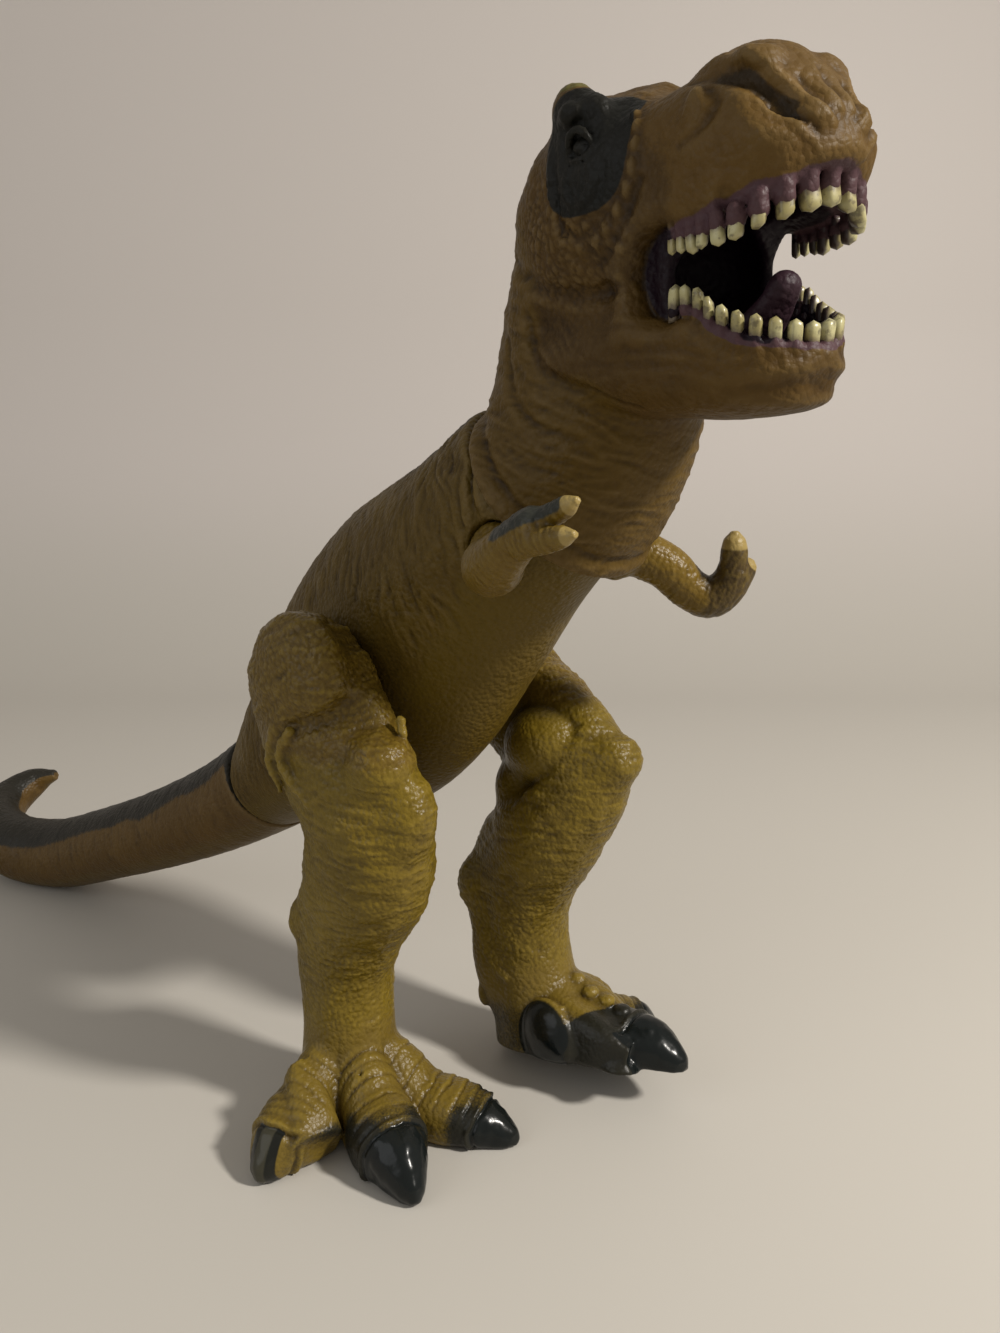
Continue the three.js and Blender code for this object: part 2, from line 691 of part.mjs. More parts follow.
const rightLeg = leg(standingLegShares, 1, seams.rightHip, standingFoot, 0);
const leftLeg = leg(steppingLegShares, -1, seams.leftHip, steppingFoot, stepSwing);
const rightArm = arm(rightArmShares, rightFingerShares, 1, seams.rightShoulder);
const leftArm = arm(leftArmShares, leftFingerShares, -1, seams.leftShoulder);

addMesh('torso_shell', torso(), matte('body vinyl', 0x8f6f2c, 0.55));
addMesh('head_and_neck', headAndNeck(), matte('head vinyl', 0x9a7030, 0.5));
addMesh('tail', tail(), matte('tail vinyl', 0x8f6f2c, 0.5));
addMesh('right_leg', rightLeg, matte('leg vinyl', 0xa87f1e, 0.35));
addMesh('left_leg', leftLeg, matte('leg vinyl', 0xa87f1e, 0.35));
addMesh('right_arm', rightArm, matte('arm vinyl', 0x9a7a30, 0.5));
addMesh('left_arm', leftArm, matte('arm vinyl', 0x9a7a30, 0.5));

for (const [name, seam] of Object.entries(seams)) {
  const small = name.endsWith('Shoulder');
  const size = small ? armSpool : limbSpool;
  const outside = small ? armPocketStart + spoolPlay : seamGap + wall + spoolPlay;
  const node = name.replace(/[A-Z]/, (letter) => `_${letter.toLowerCase()}`);
  const solid = spool(seam, size, wall + spoolPlay, outside);
  addMesh(`${node}_spool`, solid, matte('spool plastic', 0x2b2b2b, 0.4));
}

model.position.y = stanceHalfWidth;

export default model;
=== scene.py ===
import json
import math

import bmesh
import bpy
import numpy as np
import openvdb
from mathutils import Matrix, Vector


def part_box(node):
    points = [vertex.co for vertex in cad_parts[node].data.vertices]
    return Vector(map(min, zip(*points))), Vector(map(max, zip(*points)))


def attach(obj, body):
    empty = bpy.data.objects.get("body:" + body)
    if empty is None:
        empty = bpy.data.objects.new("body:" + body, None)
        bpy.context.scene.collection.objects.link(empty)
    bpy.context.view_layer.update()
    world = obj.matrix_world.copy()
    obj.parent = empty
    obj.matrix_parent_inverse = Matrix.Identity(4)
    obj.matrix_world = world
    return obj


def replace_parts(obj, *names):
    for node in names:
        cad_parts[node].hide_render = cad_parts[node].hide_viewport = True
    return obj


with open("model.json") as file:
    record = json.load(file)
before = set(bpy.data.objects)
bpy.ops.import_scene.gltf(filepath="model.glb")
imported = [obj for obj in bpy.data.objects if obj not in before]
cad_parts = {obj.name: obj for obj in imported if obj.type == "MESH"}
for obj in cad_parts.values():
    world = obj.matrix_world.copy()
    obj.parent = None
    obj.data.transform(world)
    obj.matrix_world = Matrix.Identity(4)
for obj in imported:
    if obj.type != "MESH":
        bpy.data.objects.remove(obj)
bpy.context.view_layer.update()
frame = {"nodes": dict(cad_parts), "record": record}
print("frame loaded:", len(frame["nodes"]), "nodes")

# A large soft vinyl theropod. Lengths are in millimetres until a piece is made, in the row frame:
# +X to the snout, +Y to the animal's left, +Z up, origin under the right sole.
mm = 0.001
joints = {joint["name"]: joint for joint in frame["record"]["behaviour"]["joints"]}


def jointPlace(name):
    return np.array(joints[name]["pos_m"]) / mm


def jointAxis(name):
    return np.array(joints[name]["axis"], float)


rightHip = jointPlace("right_hip_swivel")
leftHip = jointPlace("left_hip_swivel")
neckSeam = jointPlace("neck_swivel")
tailSeam = jointPlace("tail_swivel")
rightShoulder = jointPlace("right_shoulder_swivel")
leftShoulder = jointPlace("left_shoulder_swivel")
middle = (rightHip[1] + leftHip[1]) / 2  # the mid-plane's y
seamGap = 0.3


# Curves and lofted skins

def unit(vectors):
    return vectors / np.maximum(np.linalg.norm(vectors, axis=-1, keepdims=True), 1e-12)


# Places and directions on a smooth path through the points: a cubic between each two of them, whose
# slopes come from its neighbours, weighted by the square roots of the spans.
def smoothPath(points, shares):
    points = np.asarray(points, float)
    first = 2 * points[0] - points[1]
    last = 2 * points[-1] - points[-2]
    padded = np.vstack([first, points, last])
    place = np.clip(shares, 0, 1) * (len(points) - 1)
    index = np.minimum(place.astype(int), len(points) - 2)
    t = (place - index)[:, None]
    p0, p1, p2, p3 = (padded[index + k] for k in range(4))
    spans = [np.linalg.norm(b - a, axis=1, keepdims=True) ** 0.5 for a, b in ((p0, p1), (p1, p2), (p2, p3))]
    before, here, after = (np.maximum(span, 1e-4) for span in spans)
    slope1 = ((p1 - p0) / before - (p2 - p0) / (before + here) + (p2 - p1) / here) * here
    slope2 = ((p2 - p1) / here - (p3 - p1) / (here + after) + (p3 - p2) / after) * here
    square = -3 * p1 + 3 * p2 - 2 * slope1 - slope2
    cube = 2 * p1 - 2 * p2 + slope1 + slope2
    place = p1 + t * (slope1 + t * (square + t * cube))
    return place, unit(slope1 + t * (2 * square + 3 * t * cube))


# A smooth value between the entries of a list: the same kind of cubic with even spans.
def smoothValue(values, shares):
    values = np.asarray(values, float)
    padded = np.concatenate([values[:1], values, values[-1:]])
    place = np.clip(shares, 0, 1) * (len(values) - 1)
    index = np.minimum(place.astype(int), len(values) - 2)
    t = place - index
    before, start, end, after = (padded[index + k] for k in range(4))
    slope = (end - before) / 2
    bend = before - 2.5 * start + 2 * end - after / 2
    twist = 1.5 * (start - end) + (after - before) / 2
    return start + t * (slope + t * (bend + t * twist))


# The quads of a tube of rings, and the angles round a circle
def tubeQuads(rings, sides):
    low = (np.arange(rings - 1)[:, None] * sides + np.arange(sides)[None]).ravel()
    turned = (np.arange(rings - 1)[:, None] * sides + (np.arange(sides)[None] + 1) % sides).ravel()
    return np.stack([low, turned, turned + sides, low + sides], 1)


def circle(sides):
    return np.arange(sides) / sides * 2 * math.pi


# A closed skin over superellipse sections that stand square to a smooth path. A row holds its middle
# (3), its half sizes up and down, and its half width; the upper and lower halves have their own
# squareness: x = wide * sign(cos) |cos|^(2/n), z = tall * sign(sin) |sin|^(2/n).
def loft(rows, side=(0, 1, 0), squareUp=2.0, squareDown=2.0, perRow=8, sides=64):
    rows = np.asarray(rows, float)
    shares = np.linspace(0, 1, perRow * (len(rows) - 1) + 1)
    centre, ahead = smoothPath(rows[:, :3], shares)
    up, down, wide = (smoothValue(rows[:, k], shares)[:, None] for k in (3, 4, 5))
    side = np.asarray(side, float)
    across = unit(side - ahead * (ahead @ side)[:, None])
    upward = np.cross(ahead, across)
    angle = circle(sides)
    c, s = np.cos(angle)[None], np.sin(angle)[None]
    power = 2 / np.where(s > 0, squareUp, squareDown)
    x = wide * np.sign(c) * np.abs(c) ** power
    z = np.where(s > 0, up, down) * np.sign(s) * np.abs(s) ** power
    points = centre[:, None] + across[:, None] * x[..., None] + upward[:, None] * z[..., None]
    rings = len(shares)
    quads = tubeQuads(rings, sides)
    ring = np.arange(sides)
    nextOne = (ring + 1) % sides
    start, end, top = rings * sides, rings * sides + 1, (rings - 1) * sides
    caps = np.concatenate([
        np.stack([np.full(sides, start), nextOne, ring], 1),
        np.stack([np.full(sides, end), top + ring, top + nextOne], 1),
    ])
    points = np.vstack([points.reshape(-1, 3), centre[:1], centre[-1:]])
    return points, quads, caps


# Distances. A blend is a width within which two forms run into each other smoothly.

def smoothMin(a, b, blend):
    if blend <= 0:
        return np.minimum(a, b)
    near = np.maximum(blend - np.abs(a - b), 0)
    return np.minimum(a, b) - near * near / (4 * blend)


def smoothMax(a, b, blend):
    return -smoothMin(-a, -b, blend)


# A block of clay: a grid of distances to the skin of the form in it, negative inside. Forms are
# joined to it and cut from it.
class Clay:
    def __init__(self, low, high, step, reach=9):
        self.step = step
        self.low = np.floor(np.asarray(low) / step).astype(int)
        self.size = np.ceil(np.asarray(high) / step).astype(int) - self.low + 1
        self.reach = reach
        self.field = np.full(self.size, reach * step, np.float32)
        self.transform = openvdb.createLinearTransform(voxelSize=step)

    # the slices of the grid that a box covers, or all of it, and the places along them
    def axes(self, low=None, high=None):
        first = self.low if low is None else np.floor(np.asarray(low) / self.step).astype(int)
        end = self.low + self.size - 1
        last = end if high is None else np.ceil(np.asarray(high) / self.step).astype(int)
        first = np.clip(first, self.low, end)
        last = np.clip(last, first, end)
        parts = tuple(slice(a - b, c - b + 1) for a, b, c in zip(first, self.low, last))
        lines = [np.arange(a, c + 1) * self.step for a, c in zip(first, last)]
        grid = np.meshgrid(*lines, indexing="ij", sparse=True)
        return parts, [line.astype(np.float32) for line in grid]

    def distance(self, form):
        points, quads, caps = form
        grid = openvdb.FloatGrid.createLevelSetFromPolygons(
            np.ascontiguousarray(points, np.float32), np.ascontiguousarray(caps, np.uint32),
            np.ascontiguousarray(quads, np.uint32), self.transform, float(self.reach))
        field = np.full(self.size, grid.background, np.float32)
        grid.copyToArray(field, ijk=tuple(int(k) for k in self.low))
        return field

    def join(self, form, blend=0.0):
        self.field = smoothMin(self.field, self.distance(form), blend)

    # keeps what lies behind a plane that faces the given way
    def trim(self, point, facing, blend=0.0):
        x, y, z = self.axes()[1]
        depth = (x - point[0]) * facing[0] + (y - point[1]) * facing[1] + (z - point[2]) * facing[2]
        self.field = smoothMax(self.field, depth.astype(np.float32), blend)

    def work(self, parts, shape, blend, carve):
        old = self.field[parts]
        self.field[parts] = smoothMax(old, -shape, blend) if carve else smoothMin(old, shape, blend)

    # a round-ended stroke through points with a radius at each
    def stroke(self, points, radii, blend=1.0, carve=False):
        points = np.asarray(points, float)
        radii = np.broadcast_to(np.asarray(radii, float), len(points))
        margin = radii.max() + blend + 2 * self.step
        parts, (x, y, z) = self.axes(points.min(0) - margin, points.max(0) + margin)
        shape = None
        for a, b, ra, rb in zip(points[:-1], points[1:], radii[:-1], radii[1:]):
            line = b - a
            t = ((x - a[0]) * line[0] + (y - a[1]) * line[1] + (z - a[2]) * line[2]) / max(line @ line, 1e-9)
            t = np.clip(t, 0, 1)
            gap = np.sqrt((x - a[0] - t * line[0]) ** 2 + (y - a[1] - t * line[1]) ** 2
                          + (z - a[2] - t * line[2]) ** 2) - (ra + t * (rb - ra))
            shape = gap if shape is None else np.minimum(shape, gap)
        self.work(parts, shape.astype(np.float32), blend, carve)

    # an egg with half sizes along its own axes, the rows of turn
    def egg(self, centre, sizes, blend=1.0, carve=False, turn=None):
        turn = np.eye(3) if turn is None else turn
        margin = max(sizes) + blend + 2 * self.step
        centre = np.asarray(centre, float)
        parts, (x, y, z) = self.axes(centre - margin, centre + margin)
        x, y, z = x - centre[0], y - centre[1], z - centre[2]
        local = [row[0] * x + row[1] * y + row[2] * z for row in turn]
        first = np.sqrt(sum((q / s) ** 2 for q, s in zip(local, sizes)))
        second = np.sqrt(sum((q / s ** 2) ** 2 for q, s in zip(local, sizes)))
        shape = first * (first - 1) / np.maximum(second, 1e-6)
        self.work(parts, shape.astype(np.float32), blend, carve)

    # a field's values at points, mixed from the eight grid places round each
    def sample(self, field, points):
        place = points / self.step - self.low
        base = np.clip(np.floor(place).astype(int), 0, self.size - 2)
        t = np.clip(place - base, 0, 1)
        total = 0
        for corner in range(8):
            d = np.array([corner & 1, corner >> 1 & 1, corner >> 2 & 1])
            weight = np.prod(np.where(d, t, 1 - t), axis=1)
            total = total + weight * field[tuple((base + d).T)]
        return total

    # moves points onto the skin, down the slope of the distance; also gives the way out of it
    def settle(self, points, steps=6):
        for step in range(steps):
            slope = np.stack([self.sample(self.field, points + way) - self.sample(self.field, points - way)
                              for way in np.eye(3) * self.step], 1)
            points = points - unit(slope) * self.sample(self.field, points)[:, None]
        return points, unit(slope)

    def skin(self):
        grid = openvdb.FloatGrid(float(self.reach * self.step))
        grid.gridClass = openvdb.GridClass.LEVEL_SET
        grid.transform = self.transform
        grid.copyFromArray(self.field, ijk=tuple(int(k) for k in self.low), tolerance=0.0)
        points, quads = grid.convertToQuads(isovalue=0.0)
        return Skin(points.astype(float), quads.astype(np.int64))


# A skin of quads whose points are pushed about as whole arrays.
class Skin:
    def __init__(self, points, quads):
        self.points, self.quads = points, quads
        a, b, c, d = (points[quads[:, k]] for k in range(4))
        if (np.cross(c - a, d - b) * (a + b + c + d)).sum() < 0:
            self.quads = quads[:, ::-1].copy()
        ends = np.concatenate([self.quads[:, [k, (k + 1) % 4]] for k in range(4)])
        self.edges = ends[ends[:, 0] < ends[:, 1]]
        count = len(points)
        self.links = np.bincount(self.edges.ravel(), minlength=count).astype(float)[:, None]
        self.paint = {}

    def spread(self, values):  # the sum of each point's neighbours
        count = len(self.points)
        a, b = self.edges.T
        columns = [np.bincount(a, values[b, k], count) + np.bincount(b, values[a, k], count)
                   for k in range(values.shape[1])]
        return np.stack(columns, 1)

    def normals(self):
        a, b, c, d = (self.points[self.quads[:, k]] for k in range(4))
        faces = np.cross(c - a, d - b)
        total = np.zeros_like(self.points)
        for k in range(4):
            for axis in range(3):
                total[:, axis] += np.bincount(self.quads[:, k], faces[:, axis], len(self.points))
        return unit(total)

    def push(self, heights):
        self.points = self.points + self.normals() * heights[:, None]


# Patterns over points: each gives one number for each point

slantTurn = np.array(Matrix.Rotation(0.7, 3, (0.5, 0.6, 0.62)))  # a slanted lattice shows no lines


def hashed(i, j, k, seed):
    n = (i * 73856093) ^ (j * 19349663) ^ (k * 83492791) ^ (seed * 2654435761)
    n = (n ^ (n >> 13)) * 1274126177 & 0xFFFFFFFF
    n = (n ^ (n >> 16)) * 668265263 & 0xFFFFFFFF
    return ((n ^ (n >> 15)) & 0xFFFFFF) / 0xFFFFFF


# Smooth noise from -1 to 1: values at the corners of a cube lattice, eased between them.
def noise(points, scale, seed=0):
    p = points / scale + 1000
    base = np.floor(p).astype(np.int64)
    t = p - base
    t = t * t * (3 - 2 * t)
    total = 0
    for corner in range(8):
        d = np.array([corner & 1, corner >> 1 & 1, corner >> 2 & 1])
        weight = np.prod(np.where(d, t, 1 - t), axis=1)
        total = total + weight * hashed(base[:, 0] + d[0], base[:, 1] + d[1], base[:, 2] + d[2], seed)
    return total * 2 - 1


# Distances to the nearest and the next of points scattered one to a cube: their difference is
# small on the borders of the cells.
def cells(points, scale, seed=0):
    p = points / scale + 1000
    base = np.floor(p).astype(np.int64)
    best = np.full(len(p), 9.0)
    second = np.full(len(p), 9.0)
    for i in (-1, 0, 1):
        for j in (-1, 0, 1):
            for k in (-1, 0, 1):
                cell = base + np.array([i, j, k])
                spot = np.stack([hashed(*cell.T, seed + 11 * axis) for axis in range(3)], 1)
                gap = np.linalg.norm(cell + spot - p, axis=1)
                second = np.minimum(second, np.maximum(best, gap))
                best = np.minimum(best, gap)
    return best * scale, second * scale


# 0 below low, 1 above high, eased between them
def ramp(values, low, high):
    t = np.clip((values - low) / (high - low), 0, 1)
    return t * t * (3 - 2 * t)


# a bell curve: 1 at 0, falling to almost nothing at twice the width
def bell(values, width):
    return np.exp(-(values / width) ** 2)


# The distance from each point to a path
def toPath(points, path):
    path = np.asarray(path, float)
    best = np.full(len(points), 1e9)
    for a, b in zip(path[:-1], path[1:]):
        line = b - a
        t = np.clip((points - a) @ line / max(line @ line, 1e-9), 0, 1)
        best = np.minimum(best, np.linalg.norm(points - a - t[:, None] * line, axis=1))
    return best


# Wrinkles: ridged noise that is stretched along the ways it is slow in. Fast gives the wrinkle's
# spacing, slow how long each one runs; across is the direction over them.
def wrinkles(points, across, fast, slow, seed=0, warp=0.6):
    across = unit(np.asarray(across, float))
    bent = points + np.stack([noise(points, slow * 0.6, seed + k) for k in (5, 6, 7)], 1) * fast * warp
    over = bent @ across
    rest = bent - over[:, None] * across
    flat = rest / slow + over[:, None] * across / fast
    ridge = 1 - np.abs(noise(flat, 1.0, seed)) * 2
    fine = 1 - np.abs(noise(flat * 1.9 + 40, 1.0, seed + 1)) * 2
    return ridge * 0.65 + fine * 0.35


# Shader maths: a wrapped socket, so that masks and colours are written as expressions

class Wire:
    def __init__(self, tree, socket):
        self.tree, self.socket = tree, socket

    def maths(self, operation, other=None, swap=False):
        pair = [self, other] if not swap else [other, self]
        values = {k: v for k, v in enumerate(pair) if v is not None}
        return self.tree.node("ShaderNodeMath", values, operation=operation)

    def __add__(self, other):
        return self.maths("ADD", other)

    def __radd__(self, other):
        return self.maths("ADD", other, True)

    def __sub__(self, other):
        return self.maths("SUBTRACT", other)

    def __rsub__(self, other):
        return self.maths("SUBTRACT", other, True)

    def __mul__(self, other):
        return self.maths("MULTIPLY", other)

    def __rmul__(self, other):
        return self.maths("MULTIPLY", other, True)

    def clamped(self):
        return self.tree.node("ShaderNodeClamp", {"Value": self})

    def between(self, low, high):  # 0 below low, 1 above high, eased
        values = {"Value": self, "From Min": low, "From Max": high}
        return self.tree.node("ShaderNodeMapRange", values, interpolation_type="SMOOTHSTEP")


class Tree:
    def __init__(self, name):
        self.material = bpy.data.materials.new(name)
        self.material.use_nodes = True
        self.nodes = self.material.node_tree.nodes
        self.links = self.material.node_tree.links
        self.shader = self.nodes["Principled BSDF"]

    def give(self, socket, value):
        if isinstance(value, Wire):
            self.links.new(value.socket, socket)
        elif isinstance(value, (tuple, list)) and len(value) == 3 and socket.type == "RGBA":
            socket.default_value = (*value, 1.0)
        else:
            socket.default_value = value

    def node(self, kind, values, output=0, **settings):
        node = self.nodes.new(kind)
        for key, value in settings.items():
            setattr(node, key, value)
        for key, value in values.items():
            self.give(node.inputs[key], value)
        return Wire(self, node.outputs[output])

    def attribute(self, name):
        return self.node("ShaderNodeAttribute", {}, "Fac", attribute_name=name)

    def place(self):
        return self.node("ShaderNodeTexCoord", {}, "Object")

    def noise(self, scale, detail=3.0, rough=0.55):
        values = {"Vector": self.place(), "Scale": scale, "Detail": detail, "Roughness": rough}
        return self.node("ShaderNodeTexNoise", values, "Fac")

    def cells(self, scale):
        return self.node("ShaderNodeTexVoronoi", {"Vector": self.place(), "Scale": scale}, "Distance")

    def mix(self, share, a, b):
        node = self.nodes.new("ShaderNodeMix")
        node.data_type = "RGBA"
        self.give(node.inputs["Factor"], share)
        self.give(node.inputs[6], a)
        self.give(node.inputs[7], b)
        return Wire(self, node.outputs[2])

    def bump(self, height, depth, strength=1.0):
        values = {"Height": height, "Distance": depth, "Strength": strength}
        return self.node("ShaderNodeBump", values, "Normal")

    def finish(self, **values):
        for name, value in values.items():
            self.give(self.shader.inputs[name.replace("_", " ")], value)
        return self.material


# How deep each point lies in a fold and how high on a ridge, as shares: the gap to the smoothed skin.
# The paint lays painted shade in the folds and a painted highlight on the ridges.
def shadeFolds(skin, steps=10, depth=0.4):
    points = skin.points
    for step in range(steps):
        points = points * 0.5 + skin.spread(points) / skin.links * 0.5
    deep = ((points - skin.points) * skin.normals()).sum(1) / depth
    skin.paint["fold"] = deep
    skin.paint["ridge"] = -deep


# 1 in an egg round a place and 0 outside it; it falls across the egg's border, by the given share of
# its size on each side
def within(points, centre, sizes, soft=0.35):
    reach = np.sqrt((((points - np.array(centre, float)) / np.array(sizes, float)) ** 2).sum(1))
    return 1 - ramp(reach, 1 - soft, 1 + soft)


# A smooth mesh from points in millimetres, with its paint masks as attributes
def paintedMesh(name, points, faces, paint):
    mesh = bpy.data.meshes.new(name)
    mesh.from_pydata((points * mm).tolist(), [], faces)
    mesh.polygons.foreach_set("use_smooth", np.ones(len(mesh.polygons), bool))
    for key, values in paint.items():
        layer = mesh.attributes.new(key, "FLOAT", "POINT")
        layer.data.foreach_set("value", np.clip(values, 0, 1).astype(np.float32))
    return mesh


def makePiece(name, mesh, material, body):
    mesh.materials.append(material)
    mesh.update()
    piece = bpy.data.objects.new(name, mesh)
    bpy.context.scene.collection.objects.link(piece)
    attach(piece, body)
    print(name, len(mesh.vertices), "points")
    return piece


# A moulding: its skin stands in for the plain node
def makeMoulding(name, skin, material, body, node):
    mesh = paintedMesh(name, skin.points, skin.quads.tolist(), skin.paint)
    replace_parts(makePiece(name, mesh, material, body), node)


# Torso

torsoForm = {
    "length": 200, "depth": 100, "width": 80,
    "step": 0.9,  # the mesh's spacing
    "rows": [  # shares: forward, height, half depths above and below, half width
        (-0.600, 0.440, 0.210, 0.210, 0.270),
        (-0.480, 0.530, 0.310, 0.290, 0.325),
        (-0.350, 0.635, 0.410, 0.430, 0.360),
        (-0.200, 0.755, 0.490, 0.510, 0.372),
        (-0.060, 0.875, 0.470, 0.500, 0.372),
        (0.070, 0.975, 0.390, 0.410, 0.372),
        (0.180, 1.060, 0.330, 0.330, 0.365),
        (0.290, 1.140, 0.310, 0.290, 0.350),
    ],
    "hipSeat": 34, "shoulderBoss": 11,
    "strokes": [  # forward, outward from the mid-plane, up; radii, blend, carved
        ([(36, 26.5, 238), (37, 29.0, 226), (40, 29.8, 214), (44, 29.6, 206)],
         (0.8, 1.1, 1.1, 0.6), 1.4, True),
        ([(30, 28.0, 236), (30, 31.0, 222), (33, 31.4, 208)], (0.6, 1.0, 0.5), 1.4, True),
        ([(24, 29.5, 230), (22, 31.6, 214), (25, 32.0, 200)], (0.5, 0.8, 0.4), 1.2, True),
        ([(44, 25.6, 232), (47, 27.8, 220), (50, 28.4, 212), (56, 27.6, 208)],
         (0.6, 1.2, 1.4, 0.8), 1.6, True),
        ([(14, 30.4, 212), (10, 32.4, 196), (12, 31.6, 182)], (0.4, 0.8, 0.4), 1.2, True),
        ([(2, 31.0, 204), (-4, 32.0, 188), (-4, 31.0, 172)], (0.4, 0.8, 0.4), 1.2, True),
    ],
}


def scaled(rows, length, depth, width, shift=(0, 0, 0)):
    rows = np.array(rows, float)
    out = np.zeros((len(rows), 6))
    out[:, 0] = rows[:, 0] * length
    out[:, 2] = rows[:, 1] * length
    out[:, 3:5] = rows[:, 2:4] * depth
    out[:, 5] = rows[:, 4] * width
    out[:, :3] += shift
    return out


def torsoSkin():
    form = torsoForm
    low, high = (np.array(corner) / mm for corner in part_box("torso_shell"))
    clay = Clay(low - 6, high + 6, form["step"])
    rows = scaled(form["rows"], form["length"], form["depth"], form["width"], (0, middle, 0))
    clay.join(loft(rows))
    x, y, z = clay.axes()[1]
    # inside a seat's circle nothing passes the joint's plane
    hip, boss = form["hipSeat"], form["shoulderBoss"]
    for joint, hand, radius, blend in ((rightHip, -1, hip, 1.5), (leftHip, 1, hip, 1.5),
                                       (rightShoulder, -1, boss, 1.0), (leftShoulder, 1, boss, 1.0)):
        ring = np.sqrt((x - joint[0]) ** 2 + (z - joint[2]) ** 2) - radius
        beyond = np.maximum(ring, -(y - joint[1]) * hand)
        clay.field = smoothMax(clay.field, -beyond.astype(np.float32), blend)
    shares = np.linspace(0, 1, 16)
    for points, radii, blend, carved in form["strokes"]:
        for hand in (-1, 1):
            path = smoothPath(np.array(points) * (1, -hand, 1) + (0, middle, 0), shares)[0]
            clay.stroke(path, smoothValue(radii, shares), blend, carved)
    clay.trim(neckSeam, jointAxis("neck_swivel"), 1.0)
    clay.trim(tailSeam, jointAxis("tail_swivel"), 1.0)
    skin = clay.skin()
    points, normals = skin.points, skin.normals()
    belly = ramp(normals @ unit(np.array([0.75, 0, -0.66])), 0.05, 0.75)
    away = np.minimum(jointAxis("neck_swivel") @ (neckSeam[:, None] - points.T),
                      jointAxis("tail_swivel") @ (tailSeam[:, None] - points.T))
    # flat seats and seams keep still
    seat = np.minimum(*[np.hypot(points[:, 0] - place[0], points[:, 2] - place[2])
                        for place in (rightHip, leftHip)])
    still = ramp(away, 0.4, 3.0) * ramp(seat, form["hipSeat"] - 3, form["hipSeat"] + 4)
    folds = wrinkles(points, (1.0, 0.1, 0.35), 4.4, 19, seed=3, warp=1.3) * 0.5
    folds = folds + wrinkles(points, (1.0, 0, 0.1), 2.1, 10, seed=9, warp=1.0) * 0.36
    grain = noise(points @ slantTurn, 2.2, 21) * 0.08
    strength = ramp(noise(points, 30, 4), -0.6, 0.5) * 0.5 + 0.5
    skin.push((folds * strength * (1 - 0.85 * belly) * 1.25 + grain * (1 - 0.5 * belly)) * still)
    shadeFolds(skin)
    skin.paint["belly"] = belly
    back = ramp(normals @ unit(np.array([-0.66, 0, 0.75])), 0.55, 0.95)
    skin.paint["slate"] = back * ramp(points[:, 0], -60, 30) * 0.9
    return skin


# Neck and head

